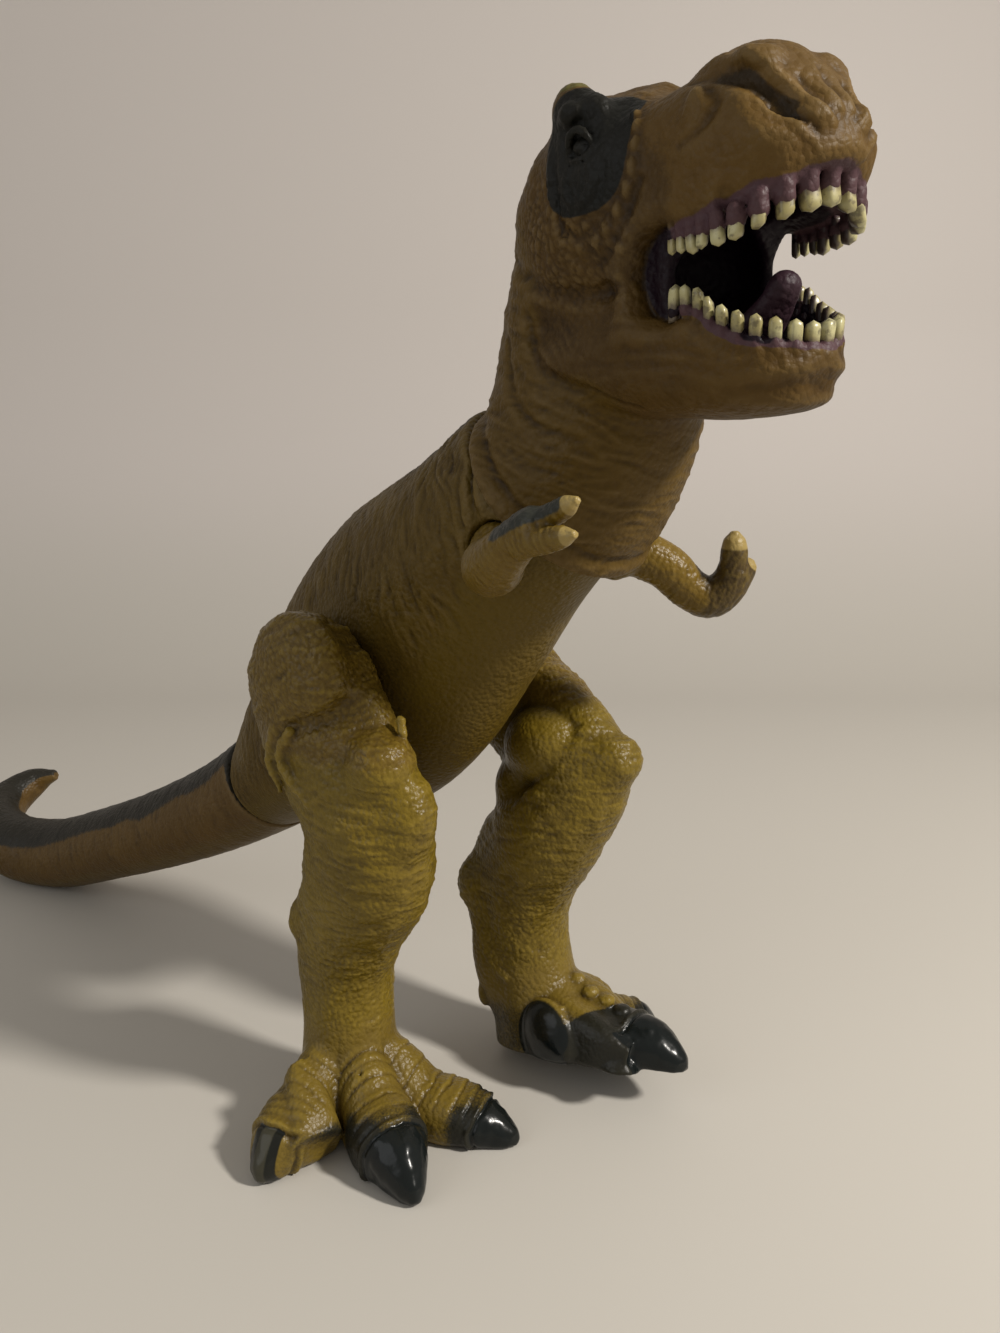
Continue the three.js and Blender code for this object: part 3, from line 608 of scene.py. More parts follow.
headForm = {
    "length": 100, "depth": 60, "width": 56, "jawDepth": 40, "yaw": math.radians(-10),
    "roll": math.radians(5), "forward": 48, "height": 290, "step": 0.745,  # rolled with its left side up
    "neckRadius": 30, "neckLength": 60,
    "neck": [  # shares: forward, up, half depths behind and in front, half width
        (-0.100, -0.090, 1.000, 1.000, 1.000),
        (0.090, 0.100, 1.040, 1.000, 0.980),
        (0.230, 0.340, 1.120, 1.000, 0.900),
        (0.300, 0.620, 1.140, 0.990, 0.840),
        (0.330, 0.900, 1.100, 0.940, 0.800),
        (0.330, 1.200, 0.900, 0.780, 0.700),
        (0.360, 1.360, 0.400, 0.400, 0.350),
    ],
    "skull": [  # shares: forward, up, half depths above and below, half width
        (0.070, -0.030, 0.10, 0.13, 0.14),
        (0.090, -0.020, 0.24, 0.28, 0.26),
        (0.160, 0.000, 0.28, 0.40, 0.37),
        (0.270, 0.020, 0.38, 0.42, 0.43),
        (0.390, 0.040, 0.41, 0.44, 0.43),
        (0.520, 0.055, 0.39, 0.44, 0.42),
        (0.620, 0.060, 0.31, 0.42, 0.405),
        (0.720, 0.060, 0.31, 0.34, 0.395),
        (0.820, 0.060, 0.31, 0.30, 0.385),
        (0.900, 0.050, 0.27, 0.26, 0.360),
        (0.955, 0.020, 0.24, 0.21, 0.320),
        (0.992, 0.000, 0.17, 0.15, 0.250),
        (1.010, -0.010, 0.10, 0.09, 0.150),
        (1.014, -0.015, 0.03, 0.03, 0.05),
    ],
    "jaw": [
        (0.120, -0.240, 0.48, 0.35, 0.38),
        (0.320, -0.290, 0.46, 0.33, 0.44),
        (0.500, -0.345, 0.42, 0.34, 0.43),
        (0.620, -0.370, 0.40, 0.31, 0.41),
        (0.740, -0.385, 0.37, 0.29, 0.375),
        (0.860, -0.405, 0.31, 0.23, 0.315),
        (0.930, -0.402, 0.24, 0.20, 0.245),
        (0.970, -0.395, 0.19, 0.15, 0.160),
        (0.988, -0.390, 0.12, 0.08, 0.085),
        (0.992, -0.390, 0.03, 0.03, 0.03),
    ],
    "corner": 70, "cornerHeight": -17, "cornerReach": 6.5,  # the open mouth's rearmost place, half height
    # hollows: middle forward and up, half sizes forward, up and across
    "palate": (78, -2, 22, 6, 13), "floor": (78, -31, 20, 5, 12), "throat": (64, -17, 12, 13, 15),
    "cheekHollow": (69.5, -17.5, 8.0, 9.6), "cheekInside": 17.6,  # how far out the cheek's bottom lies
    "tongue": [  # forward, up, half thickness in mm, half width as a share
        (0.560, -0.300, 4.0, 0.16), (0.660, -0.325, 4.5, 0.17), (0.740, -0.325, 4.5, 0.16),
        (0.800, -0.300, 4.0, 0.13), (0.845, -0.262, 3.4, 0.10), (0.870, -0.232, 3.0, 0.08),
    ],
    "tongueTip": (87.8, 0, -22.0),
    "upperLip": [  # where gum meets tooth: forward, outward, up
        (70.0, 19.8, -10.6), (74.4, 19.7, -9.9), (80.6, 19.3, -10.2), (84.5, 19.0, -9.7), (88.1, 18.1, -9.4),
        (91.2, 17.2, -8.9), (94.6, 14.9, -7.5), (97.0, 11.5, -6.1), (98.6, 6.8, -4.4), (99.3, 0.0, -3.3),
    ],
    "lowerLip": [
        (68.5, 19.2, -25.2), (71.5, 18.9, -25.3), (75.4, 18.3, -24.9), (79.1, 17.5, -26.2),
        (82.3, 16.7, -29.2), (85.1, 15.6, -30.7), (87.8, 14.4, -32.2), (90.3, 12.8, -33.1),
        (93.0, 10.4, -33.9), (95.4, 7.1, -34.8), (96.6, 3.0, -35.5), (96.8, 0.0, -35.6),
    ],
}
headYaw, headRoll = headForm["yaw"], headForm["roll"]
headTurn = np.array([  # its rows are the head's own axes
    [math.cos(headYaw), math.sin(headYaw), 0],
    [-math.sin(headYaw) * math.cos(headRoll), math.cos(headYaw) * math.cos(headRoll), math.sin(headRoll)],
    [math.sin(headYaw) * math.sin(headRoll), -math.cos(headYaw) * math.sin(headRoll), math.cos(headRoll)],
])
headPlace = np.array([headForm["forward"], middle, headForm["height"]])


def fromHead(points):
    return np.asarray(points, float) @ headTurn + headPlace


def toHead(points):
    return (points - headPlace) @ headTurn.T


def placedLoft(rows, **shape):
    points, quads, caps = loft(rows, **shape)
    return fromHead(points), quads, caps


# The head's carving. Places are in the head's own frame, written for its right side and mirrored:
# forward, outward, up. A stroke or egg that is carved takes clay away.
headCarving = {
    "eggs": [  # centre, half sizes, blend, carved
        ((40, 15.5, 12), (10, 8.5, 13), 6, False),  # the brow
        ((40.8, 19.0, 23.4), (6.2, 5.0, 5.8), 2.5, False),  # its horn
        ((46.5, 20.0, 20.5), (7, 3.4, 4.5), 4, False),
        ((51, 10, 42), (12, 8, 15), 6, True),  # the dip between horn and crown
        ((66, 0, 42.2), (9, 24, 18), 8, True),  # the dip between crown and snout
        ((80, 0, 19.2), (12, 9, 7.0), 5, False),  # the snout's own crown
        ((89.6, 8.8, 20.4), (4.6, 4.4, 3.6), 2.5, False),  # its two lumps
        ((104.0, 8, 19.5), (6.8, 10, 7.0), 4, True),  # its steep front
        ((104.2, 17, 16), (10.5, 10.5, 10.5), 3.5, True),
        ((48, 18.2, 5), (12, 6.6, 13), 5, False),  # the raised orbit
        ((28, 15.6, 9), (6, 6.4, 9), 4, False),  # the bulge behind it
        ((71, 29.0, 12), (8, 6.6, 14), 6, True),  # the hollow before it
        ((38, 19.0, -4), (13.5, 6.6, 12.5), 3.5, False),  # the cheek's lobe
        ((47.5, 26.5, 15.5), (7.0, 3.2, 6.4), 2, True),  # the eye's hollow
        ((48.0, 22.6, 13.6), (2.5, 2.4, 2.1), 0.3, False),  # the eye
        ((47.4, 23.0, 8.6), (3.2, 2.0, 2.4), 0.8, False),  # the bags under it
        ((46.6, 23.2, 4.6), (2.9, 1.8, 2.2), 0.9, False),
        ((45.0, 24.0, 21.2), (3.6, 2.0, 2.4), 1.2, False),  # the lump over it
        ((81, 18.8, 13.6), (3.0, 2.2, 4.4), 1.5, False),  # before the hollow of the muzzle
    ],
    "strokes": [  # points, radii, blend, carved
        ([(44.2, 24.4, 13.6), (45.8, 25.0, 16.2), (48.6, 25.2, 17.0), (51.2, 24.8, 15.8),
          (52.6, 24.0, 13.2)], (0.7, 1.0, 1.05, 0.9, 0.5), 0.8, False),  # the upper lid
        ([(44.0, 24.4, 11.8), (46.4, 24.9, 10.9), (49.6, 24.8, 11.0), (52.2, 24.0, 12.4)],
         (0.4, 0.6, 0.6, 0.4), 0.6, False),  # the lower lid
        ([(55.5, 24.6, 19), (57.0, 24.8, 13), (56.6, 24.8, 6), (54.5, 24.6, 1)],
         (0.5, 0.8, 0.8, 0.5), 1.2, True),
        ([(41.5, 24.6, 9.5), (43.5, 25.4, 5), (46.5, 25.6, 1.4), (50.5, 25.3, 1.6), (53, 24.6, 5)],
         0.8, 1.2, False),
        ([(38.5, 25.0, 18), (39, 25.6, 11), (39.8, 25.8, 4), (41.5, 25.8, -3)], 1.0, 1.6, True),
        ([(42, 25.6, -3.5), (47, 26, -5.5), (53, 25.6, -4.5)], 0.9, 1.8, True),
        ([(66, 23.8, -17.5), (57, 25.8, -22), (44, 27, -24), (28, 26, -24)], 3.4, 7, True),
        ([(60, 17.5, -8), (60, 17.5, -28)], 6, 4, False),  # the cheeks' skin
        ([(67, 17.8, -6), (67, 17.8, -29)], 4.2, 3, False),
        ([(100.4, 0, -44.5), (98.2, 8.5, -44.5), (93.4, 14, -44.2), (87, 18, -43.6)],
         (3.4, 3.2, 2.4, 1.2), 3, True),  # under the chin
    ],
    # lines are laid on the skin, and stand out of it or cut into it by two thirds of their radii
    "lines": {
        "crownRidge": ([(66, 9.5, 22.5), (76, 10.2, 23.5), (84, 10.8, 22.6), (88.7, 11.0, 21.2),
                        (91.7, 11.1, 19.2), (95.0, 10.7, 16.5), (97.6, 9.3, 14.2), (99.2, 8.0, 11.6),
                        (100.2, 6.2, 8.8), (100.6, 3.8, 6.2)],
                       (0.5, 1.5, 1.9, 2.0, 1.9, 1.6, 1.4, 1.2, 1.0, 0.5), 2.4, False),
        "channel": ([(76, 16.0, 21.5), (82, 15.4, 20.6), (88, 14.6, 18.4), (92.5, 13.6, 16.0),
                     (96.3, 12.4, 13.0), (98.4, 10.8, 10.7)], (0.5, 1.7, 2.5, 2.5, 1.9, 1.0), 1.8, True),
        "nostril": ([(96.8, 13.3, 11.0), (98.2, 12.0, 9.0), (99.4, 10.0, 7.0), (100.4, 7.0, 4.8)],
                    (1.7, 1.6, 1.1, 0.5), 0.9, True),
        "nostrilLid": ([(97.4, 12.4, 12.8), (98.8, 10.6, 10.8), (100.0, 8.2, 8.4), (100.6, 4.4, 5.4)],
                       (0.6, 0.9, 0.8, 0.4), 0.7, False),
        "hook": ([(94.6, 14.9, 12.8), (95.8, 14.7, 10.6), (97.0, 13.6, 8.4), (98.4, 11.9, 6.3),
                  (99.8, 9.2, 4.1), (100.5, 5.1, 2.2)], (0.6, 1.2, 1.2, 1.1, 0.9, 0.5), 0.7, False),
        "muzzleHollow": ([(83.6, 17.4, 17.4), (86.6, 18.7, 13.6), (85.4, 19.5, 10.7), (82.0, 20.5, 8.3),
                          (78, 21, 7)], (0.6, 1.3, 1.4, 1.0, 0.4), 1.4, True),
        "frontFold": ([(97.8, 6.4, 16.4), (99.4, 5.7, 12.6), (100.4, 4.2, 9.6), (100.6, 2.4, 7.6)],
                      (0.6, 1.3, 1.1, 0.4), 1.4, True),
        "lobeFold": ([(13, 18.5, -5), (18, 21.0, -9.0), (26, 23.8, -13), (34, 25, -16.6), (43, 25.4, -18.8),
                      (53, 23.8, -19.0), (62, 23.2, -17.5)], (0.8, 1.7, 2.1, 2.3, 2.3, 1.9, 0.8), 2.0, True),
        "jowlFold": ([(22, 23, -21), (25, 24.5, -30), (33, 24, -37), (45, 22, -42), (58, 18, -46)],
                     (0.6, 1.3, 1.5, 1.4, 0.5), 2.2, True),
        "throatFold": ([(12, 20, -26), (15, 22, -38), (24, 22, -48), (38, 19, -53)],
                       (0.5, 1.2, 1.3, 0.5), 2.2, True),
        "cheekFold": ([(66, 21, 3), (63, 22.5, -3), (58, 23.6, -9), (52, 24, -13)],
                      (0.5, 1.0, 1.0, 0.5), 1.8, True),
    },
    "frontGroove": ([(96.4, 0, 18.6), (98.8, 0, 14), (100.6, 0, 8)], (0.5, 1.3, 0.5), 1.6),
    "beads": [(62.4, 21.6, 19.5), (64.0, 22.0, 15.2), (64.6, 22.3, 10.8), (64.0, 22.6, 6.4),
              (62.4, 22.8, 2.0), (59.8, 23.0, -1.8), (56.4, 23.2, -4.9), (52.4, 23.6, -7.4)],
    "beadSizes": (1.2, 1.1, 1.8),
}


def layLine(clay, points, radii, blend, carved):
    shares = np.linspace(0, 1, 5 * len(points))
    radii = smoothValue(radii, shares)
    path, outward = clay.settle(fromHead(smoothPath(points, shares)[0]))
    clay.stroke(path + outward * radii[:, None] * (0.35 if carved else -0.35), radii, blend, carved)


def carveHead(clay):
    for hand in (-1, 1):
        side = np.array([1, hand, 1.0])
        for centre, sizes, blend, carved in headCarving["eggs"]:
            clay.egg(fromHead(centre * side), sizes, blend, carved, headTurn)
        for points, radii, blend, carved in headCarving["strokes"]:
            shares = np.linspace(0, 1, 4 * len(points))
            path = smoothPath(np.array(points) * side, shares)[0]
            radii = smoothValue(np.broadcast_to(radii, len(points)), shares)
            clay.stroke(fromHead(path), radii, blend, carved)
        for bead in clay.settle(fromHead(np.array(headCarving["beads"]) * side))[0]:
            clay.egg(bead, headCarving["beadSizes"], 0.8, False, headTurn)
        for line in headCarving["lines"].values():
            layLine(clay, line[0] * side, *line[1:])
    layLine(clay, *headCarving["frontGroove"], True)


# A lip from one corner of the mouth to the other
def lipPath(lip):
    half = np.array(lip)
    return np.vstack([half * (1, -1, 1), half[:-1][::-1]])


# How high the upper and lower lips lie over a place: along the jaw's sides as the lip runs forward,
# round its front as the lip runs across
def lipEdges(x, wide):
    edges = []
    for lip, sense in ((np.array(headForm["upperLip"]), 1), (np.array(headForm["lowerLip"]), -1)):
        side = np.interp(x, lip[:-3, 0], lip[:-3, 2])
        front = np.interp(wide, lip[::-1, 1], lip[::-1, 2])
        edges.append(np.maximum(side * sense, front * sense) * sense)
    return edges


# The space between the jaws, negative inside: under the upper lip, over the lower one, before the
# mouth's corners, and hollowed out inside the rows of teeth.
def mouthSpace(x, y, z):
    form = headForm
    upper, lower = lipEdges(x, np.abs(y))
    between = smoothMax(z - upper - 0.8, lower + 0.8 - z, 0.6)
    bend = (z - form["cornerHeight"]) / form["cornerReach"]
    behind = form["corner"] + 1.6 * bend * bend - x
    space = smoothMax(between, behind, 2.0)
    for forward, up, long, tall, wide in (form["palate"], form["floor"], form["throat"]):
        near = np.sqrt(((x - forward) / long) ** 2 + ((z - up) / tall) ** 2 + (y / wide) ** 2)
        space = smoothMin(space, (near - 1) * min(long, tall), 3.0)
    return space.astype(np.float32)


toothForm = {
    "height": 5.0, "cornerHeight": 3.0, "depth": 3.6, "root": 2.4, "lowerShare": 1.14,
    "gumColumn": 1.6, "rings": 11, "sides": 16,
}
# a row of teeth: its lip, their number, and how much closer they stand at the corners
upperRow = (headForm["upperLip"], 19, 0.40)
lowerRow = (headForm["lowerLip"], 20, 0.14)


# Where the teeth stand on a lip: their places, the lip's direction and their spacing there. The
# spacing grows from the corners to the front as 1 - crowd * cos(one turn over the whole lip).
def toothPlaces(lip, count, crowd):
    fine, ahead = smoothPath(lipPath(lip), np.linspace(0, 1, 400))
    run = np.concatenate([[0], np.cumsum(np.linalg.norm(np.diff(fine, axis=0), axis=1))])
    t = (np.arange(count) + 0.5) / count
    along = (t - crowd * np.sin(2 * math.pi * t) / (2 * math.pi)) * (run[-1] - 5) + 2.5
    place = np.stack([np.interp(along, run, fine[:, k]) for k in range(3)], 1)
    way = unit(np.stack([np.interp(along, run, ahead[:, k]) for k in range(3)], 1))
    return place, way, np.gradient(along)


def headSkin():
    form = headForm
    low, high = (np.array(corner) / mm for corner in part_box("head_and_neck"))
    clay = Clay(low - 8, high + 8, form["step"])
    neck = np.array(form["neck"])
    rows = np.zeros((len(neck), 6))
    rows[:, 0] = neckSeam[0] + neck[:, 0] * form["neckLength"]
    rows[:, 1] = middle
    rows[:, 2] = neckSeam[2] + neck[:, 1] * form["neckLength"]
    rows[:, 3:] = neck[:, 2:] * form["neckRadius"]
    clay.join(loft(rows))
    clay.join(placedLoft(scaled(form["skull"], form["length"], form["depth"], form["width"]),
                         squareUp=2.1, squareDown=5), 5)
    clay.join(placedLoft(scaled(form["jaw"], form["length"], form["jawDepth"], form["width"]),
                         squareUp=5, squareDown=2.3), 5)
    carveHead(clay)
    x, y, z = clay.axes()[1]
    local = [row[0] * (x - headPlace[0]) + row[1] * (y - headPlace[1]) + row[2] * (z - headPlace[2])
             for row in headTurn]
    mouth = mouthSpace(*local)
    # the cheek's skin behind the mouth's corner lies a little deeper
    forward, up, long, tall = form["cheekHollow"]
    hollow = (np.sqrt(((local[0] - forward) / long) ** 2 + ((local[2] - up) / tall) ** 2) - 1) * long
    hollow = np.maximum(hollow, form["cheekInside"] - np.abs(local[1]))
    clay.field = smoothMax(clay.field, -hollow.astype(np.float32), 5.0)
    clay.field = smoothMax(clay.field, -mouth, 1.0)
    # a column of gum over each tooth
    for row, way in ((upperRow, 1), (lowerRow, -1)):
        places, ahead, gaps = toothPlaces(*row)
        outward = unit(np.cross(ahead, (0, 0, 1.0)))
        for place, out, gap in zip(places, outward, gaps):
            size = min(gap * 0.46, 2.4)
            tall = toothForm["gumColumn"] * (1 if way > 0 else 0.35)
            column = [place + out * 0.1 - (0, 0, way * 0.2), place + out * 0.5 + (0, 0, way * tall)]
            clay.stroke(fromHead(column), (size, size * 0.86), 0.8)
    table = np.array(form["tongue"])
    rows = np.zeros((len(table), 6))
    rows[:, 0] = table[:, 0] * form["length"]
    rows[:, 2] = table[:, 1] * form["length"]
    rows[:, 3] = rows[:, 4] = table[:, 2]
    rows[:, 5] = table[:, 3] * form["width"]
    tongue = clay.distance(placedLoft(rows))
    clay.field = smoothMin(clay.field, tongue, 1.0)
    clay.egg(fromHead(form["tongueTip"]), (3.2, 4.2, 3.5), 1.5, False, headTurn)
    away = -jointAxis("neck_swivel")
    clay.trim(neckSeam - away * seamGap, away, 1.0)
    skin = clay.skin()
    dressHead(skin, clay.sample(mouth, skin.points), clay.sample(tongue, skin.points))
    return skin


# Where the head's scales and paints lie, in its own frame: forward, outward, up
headPaint = {
    "patch": (49.0, 12.8, 13.6, 14.2),  # round the eye: forward, up, half length, half height
    "lobe": ((38, 24, -4), (15, 12, 14)),  # the cheek's scaly lobe: centre, half sizes
    "shade": ((61, 24, -3), (14, 16, 15)),  # painted shade over the mouth's corner
    "horn": ((41, 19, 30), (8, 7, 3.6)),
    "tongueTip": (4.2, 5.2, 4.6),
    "corner": (71.5, -17.3, 10.5, 10.8),  # dark skin at the mouth's corner, laid out as the patch
    "gum": ((72, 80, 90, 96, 101), (1.6, 2.8, 4.8, 4.6, 3.6)),  # how far it reaches over the lip
}


# The head's folds and scales, and where its paints lie
def dressHead(skin, inMouth, onTongue):
    form, paint = headForm, headPaint
    points = skin.points
    local = toHead(points)
    x, wide, z = local[:, 0], np.abs(local[:, 1]), local[:, 2]
    sided = np.stack([x, wide, z], 1)
    upper, lower = lipEdges(x, wide)
    lip = np.array(form["upperLip"])
    fromSeam = (points - neckSeam) @ jointAxis("neck_swivel")
    between = 1 - ramp(inMouth, 0.35, 1.1)
    onLips = ramp(x, 66, 71) * (1 - ramp(z - upper, 2.6, 5)) * (1 - ramp(lower - z, 2.5, 5))
    still = ramp(fromSeam, 0.6, 2.5) * (1 - between) * (1 - 0.8 * onLips)
    lobe = within(sided, *paint["lobe"])
    forward, up, long, tall = paint["patch"]
    patch = np.abs((x - forward) / long) ** 2.8 + np.abs((z - up) / tall) ** 2.8
    patch = (1 - ramp(patch, 0.8, 1.15)) * ramp(wide, 12, 15)
    muzzle = ramp(x, 58, 72) * ramp(z, -12, -2)
    jaw = ramp(x, 36, 60) * (1 - ramp(z, -26, -20))
    neck = (1 - ramp(x, 16, 34)) * (1 - ramp(z, -6, 16)) + ramp(-z, 30, 44) * (1 - ramp(x, 40, 62))
    neck = np.clip(neck, 0, 1)
    first, second = cells(points + noise(points, 8, 101)[:, None], 2.6, 102)
    pebble = ramp(second - first, 0.0, 1.0) - 0.5
    coarse, coarser = cells(points + noise(points, 10, 103)[:, None] * 1.5, 5.6, 104)
    lumps = ramp(coarser - coarse, 0.0, 2.4) - 0.5
    neckFolds = wrinkles(points, (0.30, 0.1, 1), 3.4, 17, seed=111)
    neckFine = wrinkles(points, (-0.3, 0, 1), 2.0, 9, seed=113)
    crown = ramp(z, 12, 24) * (1 - patch)
    heights = neck * (neckFolds * 0.55 + neckFine * 0.22)
    heights += lobe * pebble * 0.42
    crownFolds = wrinkles(sided, (0.1, 1, 0.4), 4.2, 14, seed=107)
    heights += crown * (crownFolds * 0.24 * (1 - 0.7 * ramp(x, 74, 88)) + lumps * 0.07 + pebble * 0.07)
    heights += muzzle * (1 - crown) * (noise(points, 7, 108) * 0.26 + lumps * 0.05 + pebble * 0.06)
    heights += jaw * wrinkles(points, (0.1, 0.2, 1), 2.6, 18, seed=117) * 0.26
    heights += jaw * noise(points, 4, 118) * 0.15
    heights += patch * wrinkles(sided, (1, 0.2, 0.12), 2.3, 9, seed=119) * 0.30
    rest = 1 - np.clip(neck + lobe + crown + muzzle + jaw + patch, 0, 1)
    heights += rest * (wrinkles(points, (0.6, 0.1, 0.8), 2.6, 12, seed=121) * 0.26 + pebble * 0.14)
    heights += noise(points, 1.9, 123) * 0.07
    collar = 1.3 * bell(fromSeam - 3.4, 2.6) - 0.7 * bell(fromSeam - 8.2, 1.6)
    skin.push(heights * still + collar * ramp(fromSeam, 0.4, 1.6) * (1 - ramp(fromSeam, 9, 12)))
    shadeFolds(skin)
    lipWide = np.interp(x, lip[:, 0], lip[:, 1])
    inward = np.minimum(lipWide - wide, 99.5 - x - 0.02 * wide * wide)
    scallop = noise(points, 2.6, 131) * 0.6
    gumTop = np.interp(x, *paint["gum"])
    onGum = (z > upper - 3) * (1 - ramp(z - upper + scallop, gumTop - 1.3, gumTop + 1.5)) * ramp(x, 70, 78)
    underGum = (z < lower + 3) * (1 - ramp(lower - z + scallop, 0.2, 1.6)) * ramp(x, 70, 76)
    outside = 1 - ramp(np.maximum(upper - z, 0) * np.maximum(z - lower, 0), 1, 6)
    forward, up, long, tall = paint["corner"]
    corner = np.hypot((x - forward) / long, (z - up) / tall)
    atCorner = (1 - ramp(corner, 0.76, 1.06)) * ramp(wide, 12, 15) * (1 - ramp(x, 73, 76))
    skin.paint["gum"] = np.maximum(np.maximum(onGum, underGum) * outside, between)
    # inside the mouth: purple-black paint, darkened to near black as painted shade away from the lips. It is
    # kept off the palate's front, where light reaches it; the mouth's corner takes the same dark paint.
    inside = between * np.maximum(ramp(inward, 1.2, 3.5), 1 - ramp(x, 70, 75)) * (1 - ramp(x, 100, 101))
    inside = inside * (1 - 0.85 * ramp(x, 84, 92) * ramp(z, -16, -10))
    skin.paint["deep"] = np.maximum(inside, atCorner)
    tip = within(local, form["tongueTip"], paint["tongueTip"], 0.15)
    skin.paint["tongue"] = np.maximum(1 - ramp(onTongue, 0.3, 1.0), tip)
    skin.paint["slate"] = patch * ramp(wide, 12, 16)
    skin.paint["neck"] = neck
    skin.paint["muzzle"] = np.maximum(muzzle, jaw * 0.2)
    # painted shade over the mouth's corner
    skin.paint["shade"] = within(sided, *paint["shade"], 0.6)
    skin.paint["horn"] = within(sided, *paint["horn"], 0.3)
    lines = headCarving["lines"]
    # painted highlight along the snout's ridge and hook; painted shadow in the channel under it and the
    # nostril
    ridges = np.minimum(toPath(sided, lines["crownRidge"][0]), toPath(sided, lines["hook"][0]) + 0.7)
    skin.paint["pale"] = (1 - ramp(ridges, 0.8, 2.4)) * ramp(x, 72, 86)
    channel = 1 - ramp(toPath(sided, lines["channel"][0]), 1.2, 3.2)
    nostril = 1 - ramp(toPath(sided, lines["nostril"][0][:3]), 0.9, 2.0)
    skin.paint["channel"] = np.maximum(0.9 * channel * ramp(x, 74, 86), nostril) * (1 - skin.paint["pale"])


# Teeth: blunt pegs over a squarish section that swells and then rounds off to the tip. v runs from
# root to tip, the angle round it; way is 1 for the upper row and -1 for the lower one.
def teeth(row, way):
    form = toothForm
    places, ahead, gaps = toothPlaces(*row)
    outward = unit(np.cross(ahead, (0, 0, 1.0)))
    v = np.linspace(0, 1, form["rings"])[:, None]
    angle = circle(form["sides"])[None]
    tip = np.clip((v - 0.76) / 0.2401, 0, 1)
    swell = (0.92 + 0.1 * np.sin(v * math.pi * 0.8)) * np.clip(1 - tip ** 2.6, 0, 1) ** 0.5
    c, s = np.cos(angle), np.sin(angle)
    x = np.sign(c) * np.abs(c) ** 0.62 * swell
    y = np.sign(s) * np.abs(s) ** 0.62 * swell
    parts = []
    for index, (place, out, run, gap) in enumerate(zip(places, outward, ahead, gaps)):
        size = gap / gaps.max()
        jitter = hashed(np.array([index]), np.array([row[1]]), np.array([3]), 1)[0] - 0.5
        wide = gap * 0.35 * (1 + 0.2 * jitter)
        deep = min(form["depth"] / 2, wide)
        tall = form["cornerHeight"] + (form["height"] - form["cornerHeight"]) * size
        tall = tall * (1 + 0.16 * jitter) * (1 if way > 0 else form["lowerShare"]) + form["root"]
        down = unit(np.array([0, 0, -way]) + out * 0.10 + run * 0.24 * jitter)
        start = place + out * 0.1 - down * form["root"]
        points = (start + run * (x * wide)[..., None] + out * (y * deep)[..., None]
                  + down * (v * tall)[..., None] + run * (v * v * tall * 0.05)[..., None])
        parts.append(points.reshape(-1, 3))
    return np.vstack(parts)


def makeTeeth(name, row, way, material):
    count, rings, sides = row[1], toothForm["rings"], toothForm["sides"]
    each = rings * sides
    quads = tubeQuads(rings, sides)
    faces = np.concatenate([quads + k * each for k in range(count)]).tolist()
    faces += [list(range(k * each, k * each + sides))[::-1] for k in range(count)]
    faces += [list(range((k + 1) * each - sides, (k + 1) * each)) for k in range(count)]
    paint = {
        "height": np.tile(np.repeat(np.linspace(0, 1, rings), sides), count),
        "inward": np.tile(ramp(-np.sin(circle(sides)), 0.0, 0.6), rings * count),
    }
    mesh = paintedMesh(name, fromHead(teeth(row, way)), faces, paint)
    turnedOut(mesh)
    makePiece(name, mesh, material, "head")


# Turns every face of a closed mesh outwards
def turnedOut(mesh):
    work = bmesh.new()
    work.from_mesh(mesh)
    bmesh.ops.recalc_face_normals(work, faces=work.faces)
    work.to_mesh(mesh)
    work.free()
    mesh.update()


# Tail

tailForm = {
    "length": 300, "radius": 25, "step": 1.0,
    "rows": [  # shares: forward, to the left, up, radius
        (0.080, 0.000, 0.050, 0.98), (0.000, 0.000, 0.000, 0.93), (-0.090, -0.027, -0.057, 0.84),
        (-0.210, -0.060, -0.117, 0.78), (-0.360, -0.100, -0.180, 0.74), (-0.530, -0.147, -0.240, 0.73),
        (-0.635, -0.190, -0.244, 0.68), (-0.725, -0.195, -0.222, 0.58), (-0.775, -0.150, -0.200, 0.46),
        (-0.775, -0.100, -0.175, 0.32), (-0.745, -0.070, -0.160, 0.12),
    ],
}


def tailRows():
    form = tailForm
    table = np.array(form["rows"])
    rows = np.zeros((len(table), 6))
    rows[:, :3] = tailSeam + table[:, :3] * form["length"]
    rows[:, 3:] = table[:, 3:4] * form["radius"]
    return rows


def tailSkin():
    low, high = (np.array(corner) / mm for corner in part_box("tail"))
    clay = Clay(low - 6, high + 6, tailForm["step"])
    clay.join(loft(tailRows(), side=(0, 0, 1)))
    away = -jointAxis("tail_swivel")
    clay.trim(tailSeam - away * seamGap, away, 1.0)
    clay.trim((0, 0, 0), (0, 0, -1), 0.8)
    skin = clay.skin()
    rows = tailRows()
    spine = smoothPath(rows[:, :3], np.linspace(0, 1, 120))[0]
    points, normals = skin.points, skin.normals()
    nearest = np.zeros(len(points), int)
    gap = np.full(len(points), 1e9)
    for index, spot in enumerate(spine):
        reach = ((points - spot) ** 2).sum(1)
        nearest = np.where(reach < gap, index, nearest)
        gap = np.minimum(gap, reach)
    share = nearest / (len(spine) - 1)
    still = ramp((tailSeam - points) @ away, 0.6, 3.0) * ramp(points[:, 2], 0.6, 1.8)
    folds = wrinkles(points, (1.0, 0.2, 0.3), 3.4, 16, seed=77) * 0.36 + noise(points, 2.0, 78) * 0.12
    skin.push(folds * still * (0.5 + 0.5 * ramp(normals[:, 2], -0.5, 0.3)))
    shadeFolds(skin)
    upper = ramp(normals[:, 2] + noise(points, 14, 79) * 0.10, 0.30, 0.62)
    curl = ramp(share, 0.66, 0.80)
    outward = ramp(-normals[:, 0] + normals[:, 2] * 0.6, 0.1, 0.7)
    skin.paint["slate"] = np.maximum(upper, curl * outward) * 0.95
    skin.paint["belly"] = ramp(-normals[:, 2], 0.2, 0.9)
    return skin


# Legs

